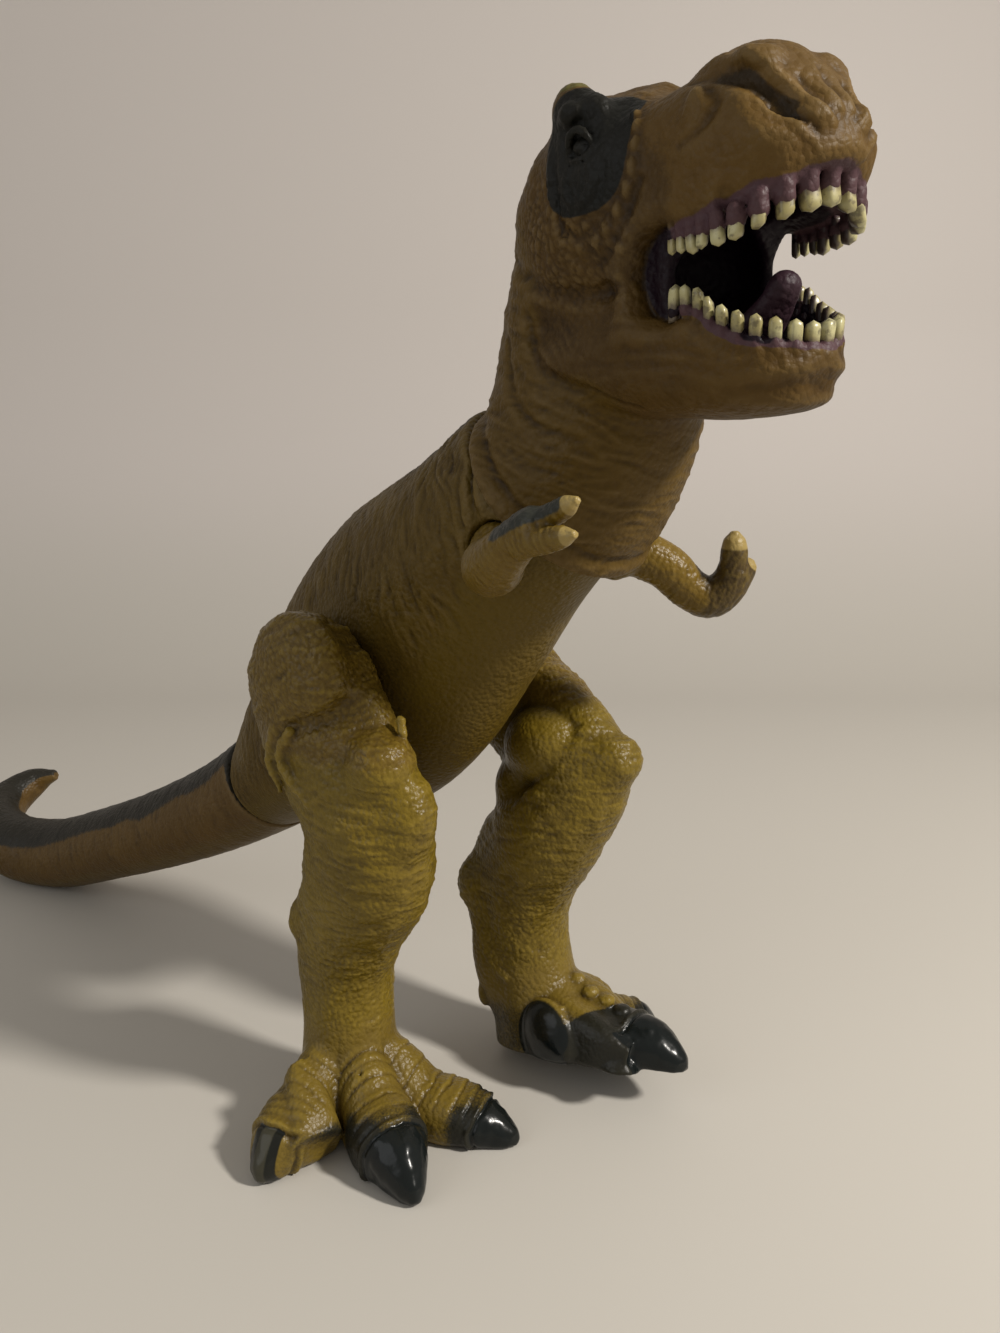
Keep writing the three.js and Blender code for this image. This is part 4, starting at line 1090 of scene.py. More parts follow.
legForm = {
    "height": 150, "breadth": 50, "width": 48, "step": 0.70, "hipClear": 52,
    "toeLength": 60, "toeHeight": 28, "toeWidth": 26, "ankleBack": 14,
    "heel": (-0.190, 0.395), "heelSizes": (4.5, 6.5, 9),  # shares of the height: forward, up
    # heights between which one kind of skin gives way to the next
    "footTop": (32, 46), "shankFrom": (44, 70), "thighFrom": (128, 150), "shankPaint": (20, 60),
    "knobFrom": (34, 44), "knobTo": (66, 80),
    "toe": [  # shares: along, height of its middle, half heights above and below, half width
        (0.000, 0.55, 0.70, 0.60, 0.40), (0.240, 0.50, 0.65, 0.50, 0.42), (0.460, 0.36, 0.50, 0.38, 0.45),
        (0.620, 0.34, 0.45, 0.36, 0.48), (0.760, 0.30, 0.40, 0.30, 0.42), (0.880, 0.20, 0.28, 0.20, 0.30),
        (0.970, 0.10, 0.16, 0.10, 0.16), (1.000, 0.06, 0.06, 0.04, 0.06),
    ],
}
# A toe: its angle and length share, where its claw starts, and where rings cross it
standing = {
    "hand": 1, "swing": 0.0, "roll": 0.0, "pitch": 0.0, "forward": 0.0, "lift": 0.0, "tall": 1.0,
    "toes": {
        "outer": (70, 0.83, 0.86, (0.40, 0.50, 0.60, 0.68, 0.74, 0.79)),
        "middle": (15, 1.02, 0.75, (0.24, 0.31, 0.37, 0.44, 0.54, 0.63, 0.70)),
        "inner": (-25, 1.10, 0.83, (0.34, 0.43, 0.53, 0.61, 0.69, 0.76)),
    },
    "eggs": [  # row frame with outward from the mid-plane: centre, half sizes, blend, carved
        ((-9, 52, 165), (21, 10, 18), 7, False),  # the hip's lobe
        ((24, 51, 154), (12, 9, 6.5), 5, True),  # the dip under it
        ((20, 43, 138), (11, 11, 10.5), 3, False),  # the knee
        ((27, 38, 122), (9, 9, 13), 5, False),  # the calf
        ((-21.0, 47, 74), (4.5, 5, 5.5), 6, False),  # the hock
    ],
    "strokes": [
        ([(16, 48, 158), (9, 55, 152), (-1, 60, 148.6), (-7, 61.5, 145)], (2.4, 2.8, 2.4, 1.2), 4, True),
        ([(-3.5, 60.4, 147), (-8.5, 61.0, 138.5), (-5, 60.0, 131), (1.3, 58.4, 124.6)],
         (1.2, 1.5, 1.2, 0.6), 2.4, False),
        ([(-12, 60.5, 146), (-17, 60.0, 135), (-15, 58, 124)], (1.0, 1.2, 0.6), 2.4, False),
        ([(23.5, 37.5, 152), (25.2, 37.8, 147), (26.4, 38.6, 142)], (0.9, 1.3, 0.8), 1.2, False),
        ([(6.5, 47.5, 36), (9.4, 46.0, 24), (11.4, 44.5, 14)], (0.5, 0.6, 0.5), 1.0, True),
    ],
    # in the foot's frame: forward, outward, top and half width
    "web": [(2, 22.0, 30, 6), (10, 25, 26, 8), (18, 28, 21, 9), (22.6, 29, 16, 9.5)],
    "rows": [  # shares: forward, outward, height, half depths in front and behind, half width
        (-0.150, 0.10, 1.200, 0.12, 0.12, 0.10), (-0.150, 0.10, 1.170, 0.34, 0.34, 0.26),
        (-0.135, 0.10, 1.080, 0.50, 0.50, 0.40), (-0.080, 0.10, 0.980, 0.54, 0.56, 0.42),
        (-0.020, 0.08, 0.880, 0.55, 0.53, 0.40), (0.025, 0.05, 0.770, 0.53, 0.43, 0.40),
        (0.005, 0.00, 0.650, 0.52, 0.42, 0.42), (-0.050, 0.00, 0.510, 0.42, 0.40, 0.38),
        (-0.080, 0.00, 0.380, 0.34, 0.38, 0.34), (-0.080, 0.00, 0.240, 0.33, 0.34, 0.33),
        (-0.080, 0.00, 0.110, 0.36, 0.38, 0.36), (-0.080, 0.00, -0.020, 0.40, 0.42, 0.40),
    ],
    "nails": [],
    "relief": {"outer": 0.6, "middle": 1.2, "inner": 1.2},
    "low": {"outer": 1.0, "middle": 1.0, "inner": 0.78},  # how tall a toe is
    "clawWide": {"outer": 0.66, "middle": 1.2, "inner": 1.2},
    "pale": {"outer": 0.8, "middle": 0.0, "inner": 0.1},  # how strongly a painted highlight runs down the middle of a claw's face
    # painted shade low on one side of the foot: between the middle toe and the web
    "footShade": lambda foot: (0.8 * ramp(foot[:, 0], 18, 30) * (1 - ramp(foot[:, 1], -13, -6))
                          * (1 - ramp(foot[:, 2], 14, 24))),
}
stepping = {
    "hand": -1, "swing": math.radians(8), "roll": math.radians(14), "pitch": math.radians(4),
    "forward": 16.0, "lift": 3.2, "tall": 0.85,
    "toes": {
        "outer": (64, 0.70, 0.80, (0.40, 0.50, 0.60, 0.70)),
        "middle": (12, 0.89, 0.66, ()),
        "inner": (-38, 0.43, 2.0, ()),
    },
    "eggs": [
        ((19, 31.6, 129), (17, 13.8, 14.5), 1.5, False),  # the thigh's lobe
        ((8, 31, 110), (11, 10, 13), 6, False),
        ((44, 40, 127), (9.5, 9.5, 9.5), 4, False),  # the knee
        ((-10, 24, 68), (7, 7, 10), 8, False),  # the hock
        ((-2, 25, 42), (8, 8, 22), 6, False),
        ((-2.2, 20.8, 26), (2.6, 3.0, 5.4), 0.6, False),  # a button on the heel
        ((29.5, 24.0, 20), (13.0, 6.5, 14.5), 1.0, False),  # the inner toe's end
        ((57, 32, 13), (8, 7.5, 9), 1.2, False),  # the second claw
        ((26.5, 42.1, 35.6), (3.2, 3.2, 2.2), 0.3, False),
        ((34.8, 40.6, 34.0), (3.3, 3.3, 2.2), 0.3, False),
        ((41.0, 42.6, 32.4), (3.4, 3.4, 2.2), 0.3, False),
        ((47.4, 44.0, 30.4), (3.5, 3.5, 2.2), 0.3, False),
    ],
    "strokes": [
        ([(-4.3, 20.6, 74), (-4.2, 21.0, 56), (2.7, 20.6, 41.7), (10.1, 20.0, 37.6)],
         (0.7, 1.2, 1.2, 0.8), 2.0, False),
        ([(-9, 22, 72), (-9, 22, 56), (-3, 21, 40)], (0.5, 1.0, 0.6), 1.8, True),
        ([(34, 26.0, 33), (39.5, 23.5, 24), (41.5, 23.0, 12)], (0.8, 1.1, 0.8), 1.0, False),
    ],
    "rows": [
        (-0.150, 0.10, 1.190, 0.12, 0.12, 0.10), (-0.150, 0.10, 1.160, 0.30, 0.32, 0.26),
        (-0.120, 0.10, 1.070, 0.38, 0.48, 0.38), (-0.050, 0.10, 0.970, 0.38, 0.54, 0.38),
        (0.030, 0.08, 0.860, 0.53, 0.45, 0.38), (0.080, 0.05, 0.750, 0.64, 0.35, 0.40),
        (0.060, 0.00, 0.620, 0.45, 0.46, 0.42), (-0.010, 0.00, 0.490, 0.35, 0.54, 0.38),
        (-0.050, 0.00, 0.380, 0.30, 0.48, 0.35), (-0.050, 0.00, 0.260, 0.30, 0.37, 0.33),
        (-0.040, 0.00, 0.130, 0.36, 0.38, 0.36), (-0.020, 0.00, 0.000, 0.40, 0.42, 0.40),
        (-0.010, 0.00, -0.080, 0.41, 0.42, 0.41),
    ],
    "web": [(4, -8, 24, 8), (16, -8, 22, 8), (28, -5.5, 17, 8), (38, -1, 11, 7)],
    "nails": [((29.5, 22.5, 20.5), (12.4, 8, 13.8))],
    "relief": {"outer": 1.0, "middle": 1.0, "inner": 1.0},
    "low": {"outer": 1.0, "middle": 1.0, "inner": 1.0},
    "clawWide": {"outer": 1.2, "middle": 1.3, "inner": 1.2},
    "pale": {"outer": 0.0, "middle": 0.1, "inner": 0.0},
    # painted shade over the front and the low part of the raised foot
    "footShade": lambda foot: np.maximum(1.4 * ramp(foot[:, 0] - foot[:, 2] * 1.1, 1, 8),
                                    0.55 * (1 - ramp(foot[:, 2], 12, 30))),
}


def turnMatrix(axis, angle):
    return np.array(Matrix.Rotation(angle, 3, axis))


# A leg is laid out upright in its mould, and swings forward about the hip afterwards
def fromMould(points, leg):
    hip = rightHip if leg["hand"] > 0 else leftHip
    return (points - hip) @ turnMatrix("Y", -leg["swing"]).T + hip


def toMould(points, leg):
    hip = rightHip if leg["hand"] > 0 else leftHip
    return (points - hip) @ turnMatrix("Y", -leg["swing"]) + hip


# the foot's own frame: its sole's middle, and its turn
def footPlace(leg):
    hand = leg["hand"]
    turn = turnMatrix("X", hand * leg["roll"]) @ turnMatrix("Y", -leg["pitch"])
    place = np.array([leg["forward"] - legForm["ankleBack"], middle * (1 - hand), leg["lift"]])
    return place, turn


def toeRows(leg, name):
    angle, share = leg["toes"][name][:2]
    table = np.array(legForm["toe"])
    tall = leg["tall"] * (1 - (1 - leg["low"][name]) * ramp(table[:, 0], 0.1, 0.5)) * legForm["toeHeight"]
    rows = np.zeros((len(table), 6))
    heading = -leg["hand"] * math.radians(angle)
    along = table[:, 0] * share * legForm["toeLength"]
    rows[:, 0] = along * math.cos(heading)
    rows[:, 1] = along * math.sin(heading)
    rows[:, 2] = table[:, 1] * tall
    rows[:, 3:5] = table[:, 2:4] * tall[:, None]
    rows[:, 5] = table[:, 4] * legForm["toeWidth"]
    return rows, heading


# A leg's places are written with outward from the mid-plane; this puts them into its mould
def legPlaces(points, leg):
    points = np.array(points, float).reshape(-1, 3)
    points = points * (1, -leg["hand"], 1) + (0, middle, 0)
    return toMould(points, leg)


def sculptLeg(clay, leg):
    for centre, sizes, blend, carved in leg["eggs"]:
        clay.egg(legPlaces(centre, leg)[0], sizes, blend, carved)
    for points, radii, blend, carved in leg["strokes"]:
        shares = np.linspace(0, 1, 5 * len(points))
        path = smoothPath(legPlaces(points, leg), shares)[0]
        clay.stroke(path, smoothValue(np.array(radii, float), shares), blend, carved)


# A leg's skin: scales and folds above, and on the foot rings, claws and their paint, which are worked
# out in each toe's own coordinates.
def dressLeg(skin, leg):
    form, hand = legForm, leg["hand"]
    hip = rightHip if hand > 0 else leftHip
    points = skin.points
    place, turn = footPlace(leg)
    foot = (points - place) @ turn
    high = points[:, 2]
    onFoot = 1 - ramp(high, *form["footTop"])
    # the flat inner side round the hip and the sole keep still
    still = ramp((hip[1] - points[:, 1]) * hand, 0.5, 2.5)
    clear = np.hypot(points[:, 0] - hip[0], points[:, 2] - hip[2]) - form["hipClear"]
    still = np.maximum(still, ramp(clear, -1, 2))
    still = still * ramp(foot[:, 2], 0.5, 1.6)
    thigh = ramp(high, *form["thighFrom"])
    scale, other = cells(points + np.stack([noise(points, 7, 31 + k) for k in range(3)], 1) * 1.8, 2.7, 17)
    pebble = ramp(other - scale, 0.0, 1.0)
    small, smallOther = cells(points, 2.3, 29)
    fine = ramp(smallOther - small, 0.0, 0.7)
    level = wrinkles(points, (0.15, 0, 1), 2.6, 15, seed=41 + hand)
    slanted = wrinkles(points, (-0.45, 0.1, 1), 3.8, 20, seed=51 + hand)
    shank = ramp(high, *form["shankFrom"]) * (1 - thigh)
    heights = (pebble - 0.6) * 0.27 * thigh + (fine - 0.5) * 0.13 * (1 - onFoot * 0.7)
    heights = heights + (level * 0.44 + slanted * 0.34) * shank + slanted * 0.50 * thigh
    knob = ramp(high, *form["knobFrom"]) * (1 - ramp(high, *form["knobTo"]))
    heights = heights + (fine - 0.5) * 0.14 * knob + noise(points, 5, 33) * 0.35 * (1 - onFoot)
    dark = np.zeros(len(points))
    fade = np.zeros(len(points))
    nail = np.zeros(len(points))
    best = np.full(len(points), 9.0)
    details = np.zeros(len(points))
    for name, (angle, share, claw, rings) in leg["toes"].items():
        heading = -hand * math.radians(angle)
        length = share * form["toeLength"]
        along = (foot[:, 0] * math.cos(heading) + foot[:, 1] * math.sin(heading)) / length
        side = -foot[:, 0] * math.sin(heading) + foot[:, 1] * math.cos(heading)
        table = np.array(form["toe"])
        wide = np.interp(along, table[:, 0], table[:, 4]) * form["toeWidth"]
        top = np.interp(along, table[:, 0], table[:, 1] + table[:, 2]) * form["toeHeight"] * leg["tall"]
        reach = np.abs(side) / np.maximum(wide, 0.30 * form["toeWidth"])
        mine = (along > 0.12) & (reach < best) & (reach < 1.5)
        mine = mine & (foot[:, 2] < np.maximum(top, 10) * 1.25 + 3)
        best = np.where(mine, reach, best)
        upper = ramp(foot[:, 2] / np.maximum(top, 1), 0.30, 0.70)
        bent = along + 0.03 * reach * reach + noise(points, 6, 61) * 0.012
        relief = np.zeros(len(points))
        for ring in rings:
            gap = (bent - ring) * length
            depth = 0.65 + 0.5 * noise(points + 40 * ring, 7, 63)
            relief += (0.40 * bell(gap + 0.9, 0.9) - 0.62 * bell(gap - 0.45, 0.42)) * depth
        relief = relief * upper * leg["relief"][name] * (1 - ramp(along, claw - 0.02, claw))
        relief = relief * (1 - ramp(reach, 0.8, 1.05))
        past = (bent - claw) * length
        edge = 0.8 * bell(past + 0.9, 0.8) - 0.9 * bell(past - 0.5, 0.7)
        relief += edge * (1 - ramp(reach, 0.95, 1.2))
        broad = leg["clawWide"][name]
        onClaw = ramp(past, -0.2, 0.4) * (1 - ramp(reach, broad - 0.1, broad + 0.1))
        relief += onClaw * (0.9 * (0.45 - np.minimum(reach, 1)) * ramp(past, 0.5, 4))
        relief += onClaw * 0.25 * noise(points * (1, 1, 0.5), 2.4, 71)
        details = np.where(mine, relief, details)
        dark = np.where(mine, onClaw, dark)
        shaded = ramp(along, claw - 0.30, claw - 0.02) * (0.55 + 0.45 * ramp(reach, 0.3, 1.0))
        fade = np.where(mine, shaded * (1 if broad > 1 else 0.4), fade)
        # a painted highlight down the middle of the claw's face
        nail = np.where(mine, onClaw * (1 - ramp(reach, 0.2, 0.45)) * leg["pale"][name], nail)
    heights = heights * (1 - dark) * (1 - 0.5 * ramp(fade, 0, 1)) + details
    skin.push(heights * still)
    shadeFolds(skin)
    for centre, sizes in leg["nails"]:
        nailPlace = legPlaces(centre, leg)[0]
        spot = within(points, nailPlace, sizes, 0.10)
        dark = np.maximum(dark, spot)
        # and a faint painted highlight on its face
        face = within(points, nailPlace + (0, -2.0, 0), (sizes[0], sizes[1] * 0.62, sizes[2]), 0.2)
        nail = np.maximum(nail, spot * face * 0.12)
    skin.paint["claw"] = dark
    # the dark airbrush towards the claws, with the foot's painted shade laid over it
    skin.paint["fade"] = np.maximum(fade, leg["footShade"](foot))
    skin.paint["nail"] = nail
    skin.paint["thigh"] = thigh
    skin.paint["shank"] = 1 - ramp(high, *form["shankPaint"])


def legSkin(node, leg):
    form, hand = legForm, leg["hand"]
    hip = rightHip if hand > 0 else leftHip
    low, high = (np.array(corner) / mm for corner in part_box(node))
    if leg["swing"]:
        corners = np.array([[(low, high)[i][0], (low, high)[j][1], (low, high)[k][2]]
                            for i in (0, 1) for j in (0, 1) for k in (0, 1)])
        corners = toMould(corners, leg)
        low, high = corners.min(0), corners.max(0)
    clay = Clay(low - 6, high + 6, form["step"])
    table = np.array(leg["rows"])
    rows = np.zeros((len(table), 6))
    rows[:, 0] = table[:, 0] * form["height"]
    rows[:, 1] = middle - hand * (middle + table[:, 1] * form["width"])
    rows[:, 2] = table[:, 2] * form["height"]
    rows[:, 3:5] = table[:, 3:5] * form["breadth"]
    rows[:, 5] = table[:, 5] * form["width"]
    clay.join(loft(rows))
    back, up = (share * form["height"] for share in form["heel"])
    clay.egg((back, middle * (1 - hand), up), form["heelSizes"], 4)
    x, y, z = clay.axes()[1]
    ring = np.sqrt((x - hip[0]) ** 2 + (z - hip[2]) ** 2) - form["hipClear"]
    inside = np.maximum(ring, (hip[1] - hand * seamGap - y) * hand)
    clay.field = smoothMax(clay.field, -inside.astype(np.float32), 7.0)
    place, turn = footPlace(leg)
    for name in leg["toes"]:
        rows, heading = toeRows(leg, name)
        points, quads, caps = loft(rows, side=(-math.sin(heading), math.cos(heading), 0), perRow=6, sides=48,
                                   squareDown=4.5)
        clay.join((points @ turn.T + place, quads, caps), 2.5)
    web = np.array(leg["web"], float)
    rows = np.zeros((len(web), 6))
    rows[:, 0] = web[:, 0]
    rows[:, 1] = -hand * web[:, 1]
    rows[:, 2] = rows[:, 3] = rows[:, 4] = web[:, 2] / 2
    rows[:, 5] = web[:, 3]
    points, quads, caps = loft(rows, squareUp=3, squareDown=6)
    clay.join((points @ turn.T + place, quads, caps), 1.2)
    sculptLeg(clay, leg)
    clay.trim(place, turn @ np.array([0, 0, -1.0]), 0.8)
    skin = clay.skin()
    dressLeg(skin, leg)
    skin.points = fromMould(skin.points, leg)
    return skin


# Arms

armForm = {
    "length": 45, "radius": 8, "step": 0.5,
    "fingerRows": [(0.0, 1.0), (0.4, 1.0), (0.8, 0.8), (1.0, 0.3)],  # shares: along, radius
    "dome": (10.3, 5.4, 10.3), "domeOut": 3.2,  # the shoulder's dome, round about its joint
    "domePaint": (13, 9, 13),
}
# rows and fingers: shares of the arm's length forward, outward and up; rows end with a radius share
rightArm = {
    "rows": [(0.00, -0.20, 0.00, 0.95), (0.00, 0.00, 0.00, 0.95), (0.10, 0.20, -0.02, 0.98),
             (0.27, 0.36, -0.01, 1.00), (0.46, 0.48, 0.06, 0.86), (0.67, 0.54, 0.18, 0.70),
             (0.85, 0.56, 0.27, 0.66), (0.93, 0.56, 0.31, 0.30)],
    "fingers": [((0.79, 0.54, 0.26), (1.14, 0.56, 0.42)), ((0.74, 0.60, 0.16), (1.19, 0.63, 0.25))],
    "thick": (3.0, 3.2), "nails": (0.10, 0.09), "across": (0.8, 0.2, 0.5),
    "slate": lambda p: ramp(p[:, 0], 0.46, 0.62) * ramp(p[:, 2] - 0.40 * p[:, 0], -0.10, -0.02),
    "shade": lambda p: 0 * p[:, 0],
}
leftArm = {
    "rows": [(0.00, -0.20, 0.00, 0.95), (0.00, 0.00, 0.00, 0.95), (0.10, 0.20, -0.04, 0.95),
             (0.25, 0.36, -0.14, 0.90), (0.35, 0.51, -0.30, 0.84), (0.46, 0.61, -0.36, 0.82),
             (0.56, 0.67, -0.27, 0.76), (0.61, 0.69, -0.15, 0.66), (0.63, 0.69, -0.09, 0.34)],
    "fingers": [((0.61, 0.66, -0.18), (0.62, 0.64, 0.12)), ((0.61, 0.74, -0.22), (0.67, 0.79, -0.08))],
    "thick": (4.3, 3.4), "nails": (0.15, 0.09), "across": (0.6, 0.6, -0.3),
    "slate": lambda p: 0.5 * ramp(p[:, 1], 0.66, 0.78),
    "shade": lambda p: ramp(p[:, 1], 0.40, 0.56),
}


def armSkin(node, arm, shoulder, hand):
    form = armForm
    low, high = (np.array(corner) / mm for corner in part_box(node))
    clay = Clay(low - 5, high + 5, form["step"])
    spread = np.array([1, -hand, 1]) * form["length"]
    table = np.array(arm["rows"])
    rows = np.zeros((len(table), 6))
    rows[:, :3] = shoulder + table[:, :3] * spread
    rows[:, 3:] = table[:, 3:4] * form["radius"]
    side = unit(np.array([-1.0, 0, 1.0]))
    clay.join(loft(rows, side=side))
    inward = np.array([0, hand, 0.0])
    clay.egg(shoulder - inward * form["domeOut"], form["dome"], 2.0)
    for (root, tip), thick in zip(arm["fingers"], arm["thick"]):
        root, tip = np.array(root) * spread, np.array(tip) * spread
        finger = np.array([(*(shoulder + root + (tip - root) * along), *[share * thick] * 3)
                           for along, share in form["fingerRows"]])
        clay.join(loft(finger, side=side), 1.5)
    clay.trim(shoulder - inward * seamGap, inward, 0.6)
    skin = clay.skin()
    points = skin.points
    local = (points - shoulder) / spread
    still = ramp(-(points - shoulder) @ inward, 0.8, 3.0)
    folds = wrinkles(points, arm["across"], 1.7, 7, seed=91 + hand) * 0.20
    folds = folds + noise(points, 1.3, 92) * 0.07
    nails = np.zeros(len(points))
    for (root, tip), size in zip(arm["fingers"], arm["nails"]):
        nails = np.maximum(nails, within(local, tip, (size, size, size), 0.25))
    skin.push(folds * still * (1 - nails))
    shadeFolds(skin, 8, 0.22)
    skin.paint["nail"] = nails
    skin.paint["slate"] = arm["slate"](local) * (1 - nails)
    skin.paint["shade"] = arm["shade"](local)
    skin.paint["base"] = within(points, shoulder, form["domePaint"], 0.3)
    return skin


# Paint

grainDepth = 0.00035  # the fine relief of the vinyl's skin, in metres


# Soft vinyl is sprayed: its base wanders between two tones, with painted shade darkening the folds and a
# painted highlight paling the ridges. Each further layer is a mask, a colour, its strength and how soft its
# grainy edge is; the layers called under go on before the painted shade and highlight of folds and ridges.
def vinyl(name, tones, fold, ridge, layers, roughness, grain=1.0, shine=0.25):
    tree = Tree(name)
    slow = tree.noise(34.0, 3.0).between(0.36, 0.64)
    speck = tree.noise(1500.0, 2.0, 0.6)
    blotch = tree.noise(150.0, 4.0, 0.65)
    colour = tree.mix(slow, tones[0], tones[1])
    colour = tree.mix(blotch.between(0.52, 0.72) * 0.35, colour, fold)
    for mask, paint, strength, soft in layers:
        if mask.startswith("under "):
            edge = tree.attribute(mask[6:]) + (speck - 0.5) * soft + (blotch - 0.5) * soft
            colour = tree.mix(edge.between(0.30, 0.70) * strength, colour, paint)
    # a painted highlight on the ridges, then painted shade in the folds
    colour = tree.mix((tree.attribute("ridge") * 0.75 * (blotch * 0.8 + 0.5)).clamped(), colour, ridge)
    colour = tree.mix((tree.attribute("fold") * 0.95).clamped(), colour, fold)
    rough = tree.noise(60.0, 3.0) * 0.22 + (roughness - 0.11) + speck * 0.08
    for mask, paint, strength, soft in layers:
        if not mask.startswith("under "):
            edge = tree.attribute(mask) + (speck - 0.5) * soft + (blotch - 0.5) * soft * 0.6
            share = edge.between(0.32, 0.68) * strength
            colour = tree.mix(share, colour, paint)
            if mask == "claw":
                rough = rough * (1.0 - share * 0.42)
    pebbles = tree.cells(620.0) * -0.9 + tree.noise(420.0, 4.0, 0.6)
    relief = pebbles * (1.0 - tree.attribute("claw") * 0.85) * (1.0 - tree.attribute("fade") * 0.6)
    normal = tree.bump(relief, grainDepth * grain, 0.9)
    return tree.finish(Base_Color=colour, Roughness=rough, Normal=normal, Specular_IOR_Level=shine)


slate, shadow = (0.0055, 0.0062, 0.0052), (0.014, 0.007, 0.002)
torsoMaterial = vinyl(
    "torsoVinyl", ((0.089, 0.055, 0.007), (0.067, 0.040, 0.005)), shadow, (0.15, 0.10, 0.03), [
        ("under belly", (0.088, 0.056, 0.005), 0.85, 0.5),
        ("slate", (0.022, 0.020, 0.012), 0.80, 0.55),
    ], roughness=0.40, grain=1.3, shine=0.16)
headMaterial = vinyl(
    "headVinyl", ((0.076, 0.041, 0.007), (0.055, 0.029, 0.005)), shadow, (0.15, 0.098, 0.035), [
        ("under neck", (0.080, 0.046, 0.006), 0.9, 0.5),
        ("under muzzle", (0.096, 0.053, 0.011), 0.85, 0.5),
        ("under shade", (0.040, 0.022, 0.006), 0.6, 0.5),
        ("horn", (0.100, 0.090, 0.022), 0.8, 0.4),
        # painted highlight on the snout's ridge, painted shadow in its channel
        ("pale", (0.15, 0.092, 0.030), 0.7, 0.5),
        ("channel", (0.016, 0.010, 0.004), 0.8, 0.4),
        ("slate", slate, 0.97, 0.22),
        ("gum", (0.066, 0.034, 0.043), 0.92, 0.35),
        # purple-black paint, darkened further as painted shade deep in the mouth
        ("deep", (0.0065, 0.002, 0.006), 0.97, 0.25),
        ("tongue", (0.030, 0.014, 0.020), 0.9, 0.2),
    ], roughness=0.46, shine=0.16)
tailMaterial = vinyl(
    "tailVinyl", ((0.098, 0.054, 0.010), (0.081, 0.044, 0.008)), shadow, (0.14, 0.09, 0.03), [
        ("under belly", (0.105, 0.068, 0.014), 0.7, 0.5),
        ("slate", (0.012, 0.013, 0.011), 0.93, 0.7),
    ], roughness=0.42)
legMaterial = vinyl(
    "legVinyl", ((0.152, 0.103, 0.009), (0.114, 0.076, 0.007)), (0.040, 0.024, 0.004), (0.23, 0.16, 0.022), [
        ("under thigh", (0.100, 0.060, 0.008), 0.88, 0.6),
        ("under shank", (0.138, 0.092, 0.018), 0.6, 0.6),
        # dark airbrush towards the claws, with the feet's painted shade
        ("fade", (0.0075, 0.0088, 0.0076), 0.96, 0.4),
        ("claw", (0.0058, 0.0078, 0.0078), 0.97, 0.15),
        # a painted highlight down the claws' faces
        ("nail", (0.046, 0.043, 0.028), 0.85, 0.3),
    ], roughness=0.31, grain=1.25)
armMaterial = vinyl(
    "armVinyl", ((0.142, 0.086, 0.008), (0.108, 0.064, 0.006)), (0.036, 0.022, 0.005), (0.21, 0.145, 0.03), [
        ("under base", (0.089, 0.055, 0.007), 0.85, 0.5),
        ("under shade", (0.048, 0.030, 0.009), 0.95, 0.5),
        ("slate", (0.016, 0.022, 0.022), 0.92, 0.35),
        ("nail", (0.30, 0.22, 0.075), 0.92, 0.2),
    ], roughness=0.34)


# Teeth: cream, dirty at the root, missed here and there by the brush
def toothPaint():
    tree = Tree("toothPaint")
    smudge = tree.noise(420.0, 3.0, 0.6)
    root = 1.0 - (tree.attribute("height") + (smudge - 0.5) * 0.5).between(0.34, 0.66)
    tone = tree.mix(tree.noise(90.0, 2.0).between(0.4, 0.62), (0.43, 0.40, 0.21), (0.28, 0.24, 0.10))
    tone = tree.mix(root * 0.85, tone, (0.055, 0.032, 0.030))
    tone = tree.mix(smudge.between(0.51, 0.64) * 0.6, tone, (0.045, 0.030, 0.022))
    tone = tree.mix(tree.attribute("inward") * 0.93, tone, (0.034, 0.018, 0.024))
    return tree.finish(Base_Color=tone, Roughness=smudge * 0.2 + 0.26)


# The hidden spools: black plastic
def spoolPlastic():
    tree = Tree("spoolPlastic")
    tone = tree.mix(tree.noise(200.0, 3.0), (0.018, 0.018, 0.019), (0.030, 0.030, 0.031))
    rough = tree.noise(500.0, 2.0) * 0.2 + 0.35
    return tree.finish(Base_Color=tone, Roughness=rough, Normal=tree.bump(tree.noise(900.0, 2.0), 0.0001))


toothMaterial, spoolMaterial = toothPaint(), spoolPlastic()
for nodeName, node in frame["nodes"].items():
    if nodeName.endswith("_spool"):
        for slot in node.material_slots:
            slot.material = spoolMaterial

makeMoulding("torso_skin", torsoSkin(), torsoMaterial, "torso", "torso_shell")
makeMoulding("head_skin", headSkin(), headMaterial, "head", "head_and_neck")
makeMoulding("tail_skin", tailSkin(), tailMaterial, "tail", "tail")
for node, leg in (("right_leg", standing), ("left_leg", stepping)):
    makeMoulding(node + "_skin", legSkin(node, leg), legMaterial, node, node)
for node, arm, shoulder, hand in (("right_arm", rightArm, rightShoulder, 1),
                                  ("left_arm", leftArm, leftShoulder, -1)):
    makeMoulding(node + "_skin", armSkin(node, arm, shoulder, hand), armMaterial, node, node)
makeTeeth("upper_teeth", upperRow, 1, toothMaterial)
makeTeeth("lower_teeth", lowerRow, -1, toothMaterial)


# Floor, light and camera

cameraForm = {  # the photo's view: place in metres, turn and tilt in degrees
    "place": (0.2622, -0.1820, 0.2320), "turn": 47, "down": 12, "lens": 27.0, "sensor": 36.0,
}
sweepForm = {  # how far it reaches, where it bends, the bend's radius and the wall's height
    "floor": 2600, "bendAt": 620, "corner": 420, "back": 1500, "bendRows": 24,
    "colour": (0.50, 0.475, 0.43), "wallColour": (0.57, 0.53, 0.50),
    "shadeFrom": 0.0, "shadeTo": 0.25,  # metres over the floor between which one colour becomes the other
}
lampForm = {  # place, target and diameter in metres, power, colour
    "key": ((1.02, 0.38, 0.95), (0.0, 0.03, 0.12), 0.16, 21, (1.0, 0.95, 0.88)),
    "fill": ((-0.2, -1.3, 0.7), (0.0, 0.03, 0.15), 1.2, 4, (0.95, 0.97, 1.0)),
}
roomForm = {"colour": (0.92, 0.87, 0.80, 1), "strength": 0.40}


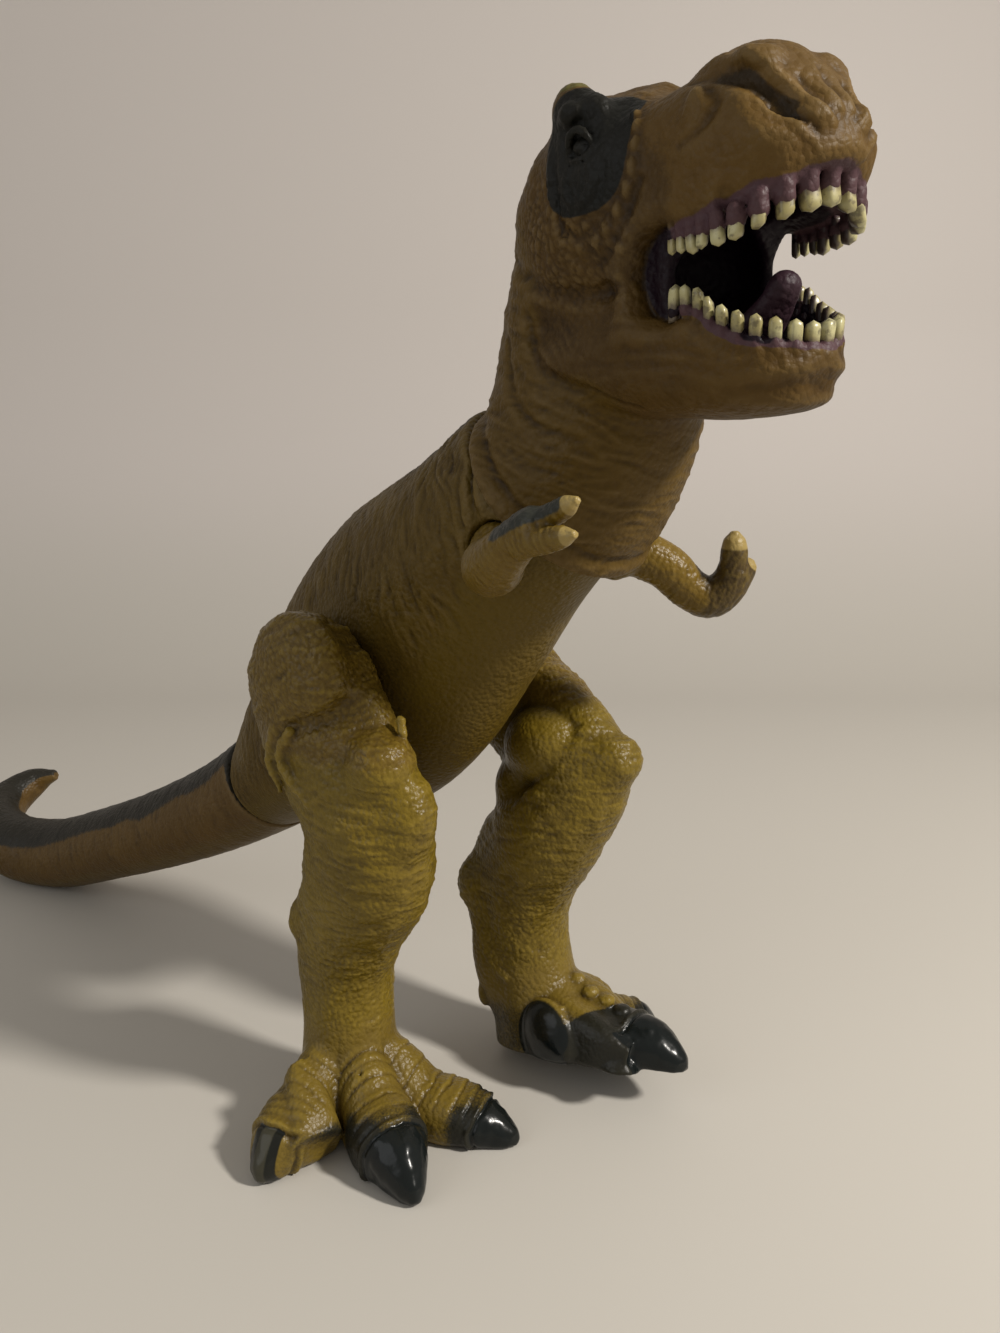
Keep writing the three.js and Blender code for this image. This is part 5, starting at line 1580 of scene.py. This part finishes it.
# A sweep: flat under the figure, then a quarter circle up into a wall behind it
def makeSweep():
    form = sweepForm
    angle = math.radians(cameraForm["turn"])
    away = np.array([-math.sin(angle), math.cos(angle), 0])
    right = np.array([math.cos(angle), math.sin(angle), 0])
    up = np.array([0, 0, 1.0])
    bend = np.linspace(0, math.pi / 2, form["bendRows"])
    outline = [(-form["floor"], 0.0)]
    outline += [(form["bendAt"] + form["corner"] * math.sin(a), form["corner"] * (1 - math.cos(a)))
                for a in bend]
    outline.append((form["bendAt"] + form["corner"], form["back"]))
    outline = np.array(outline)
    lines = [outline[:, :1] * away + outline[:, 1:] * up + right * side * form["floor"] for side in (-1, 1)]
    points = np.vstack(lines)
    count = len(outline)
    faces = [(k, k + count, k + 1 + count, k + 1) for k in range(count - 1)]
    mesh = paintedMesh("sweep", points, faces, {})
    tree = Tree("paleSweep")
    height = tree.node("ShaderNodeSeparateXYZ", {"Vector": tree.place()}, "Z")
    height = height + (tree.noise(3.0, 2.0) - 0.5) * 0.04
    share = height.between(form["shadeFrom"], form["shadeTo"])
    mesh.materials.append(tree.finish(Base_Color=tree.mix(share, form["colour"], form["wallColour"]),
                                      Roughness=0.6))
    mesh.update()
    sweep = bpy.data.objects.new("sweep", mesh)
    bpy.context.scene.collection.objects.link(sweep)


def softLamp(name, place, target, size, power, colour):
    lamp = bpy.data.lights.new(name, "AREA")
    lamp.shape = "DISK"
    lamp.size = size
    lamp.energy = power
    lamp.color = colour
    holder = bpy.data.objects.new(name, lamp)
    holder.location = Vector(place)
    holder.rotation_euler = (Vector(target) - Vector(place)).to_track_quat("-Z", "Y").to_euler()
    bpy.context.scene.collection.objects.link(holder)


def makeLights():
    for name, values in lampForm.items():
        softLamp(name, *values)
    world = bpy.data.worlds.new("room")
    world.use_nodes = True
    background = world.node_tree.nodes["Background"]
    background.inputs["Color"].default_value = roomForm["colour"]
    background.inputs["Strength"].default_value = roomForm["strength"]
    bpy.context.scene.world = world


def makeCamera():
    form = cameraForm
    turn, down = math.radians(form["turn"]), math.radians(form["down"])
    camera = bpy.data.cameras.new("camera")
    camera.lens = form["lens"]
    camera.sensor_width = form["sensor"]
    camera.sensor_fit = "AUTO"
    holder = bpy.data.objects.new("camera", camera)
    holder.location = form["place"]
    ahead = Vector((-math.sin(turn) * math.cos(down), math.cos(turn) * math.cos(down), -math.sin(down)))
    holder.rotation_euler = ahead.to_track_quat("-Z", "Y").to_euler()
    bpy.context.scene.collection.objects.link(holder)
    bpy.context.scene.camera = holder


makeSweep()
makeLights()
makeCamera()
bpy.context.scene.view_settings.view_transform = "Standard"
print("stage, lights and camera made")
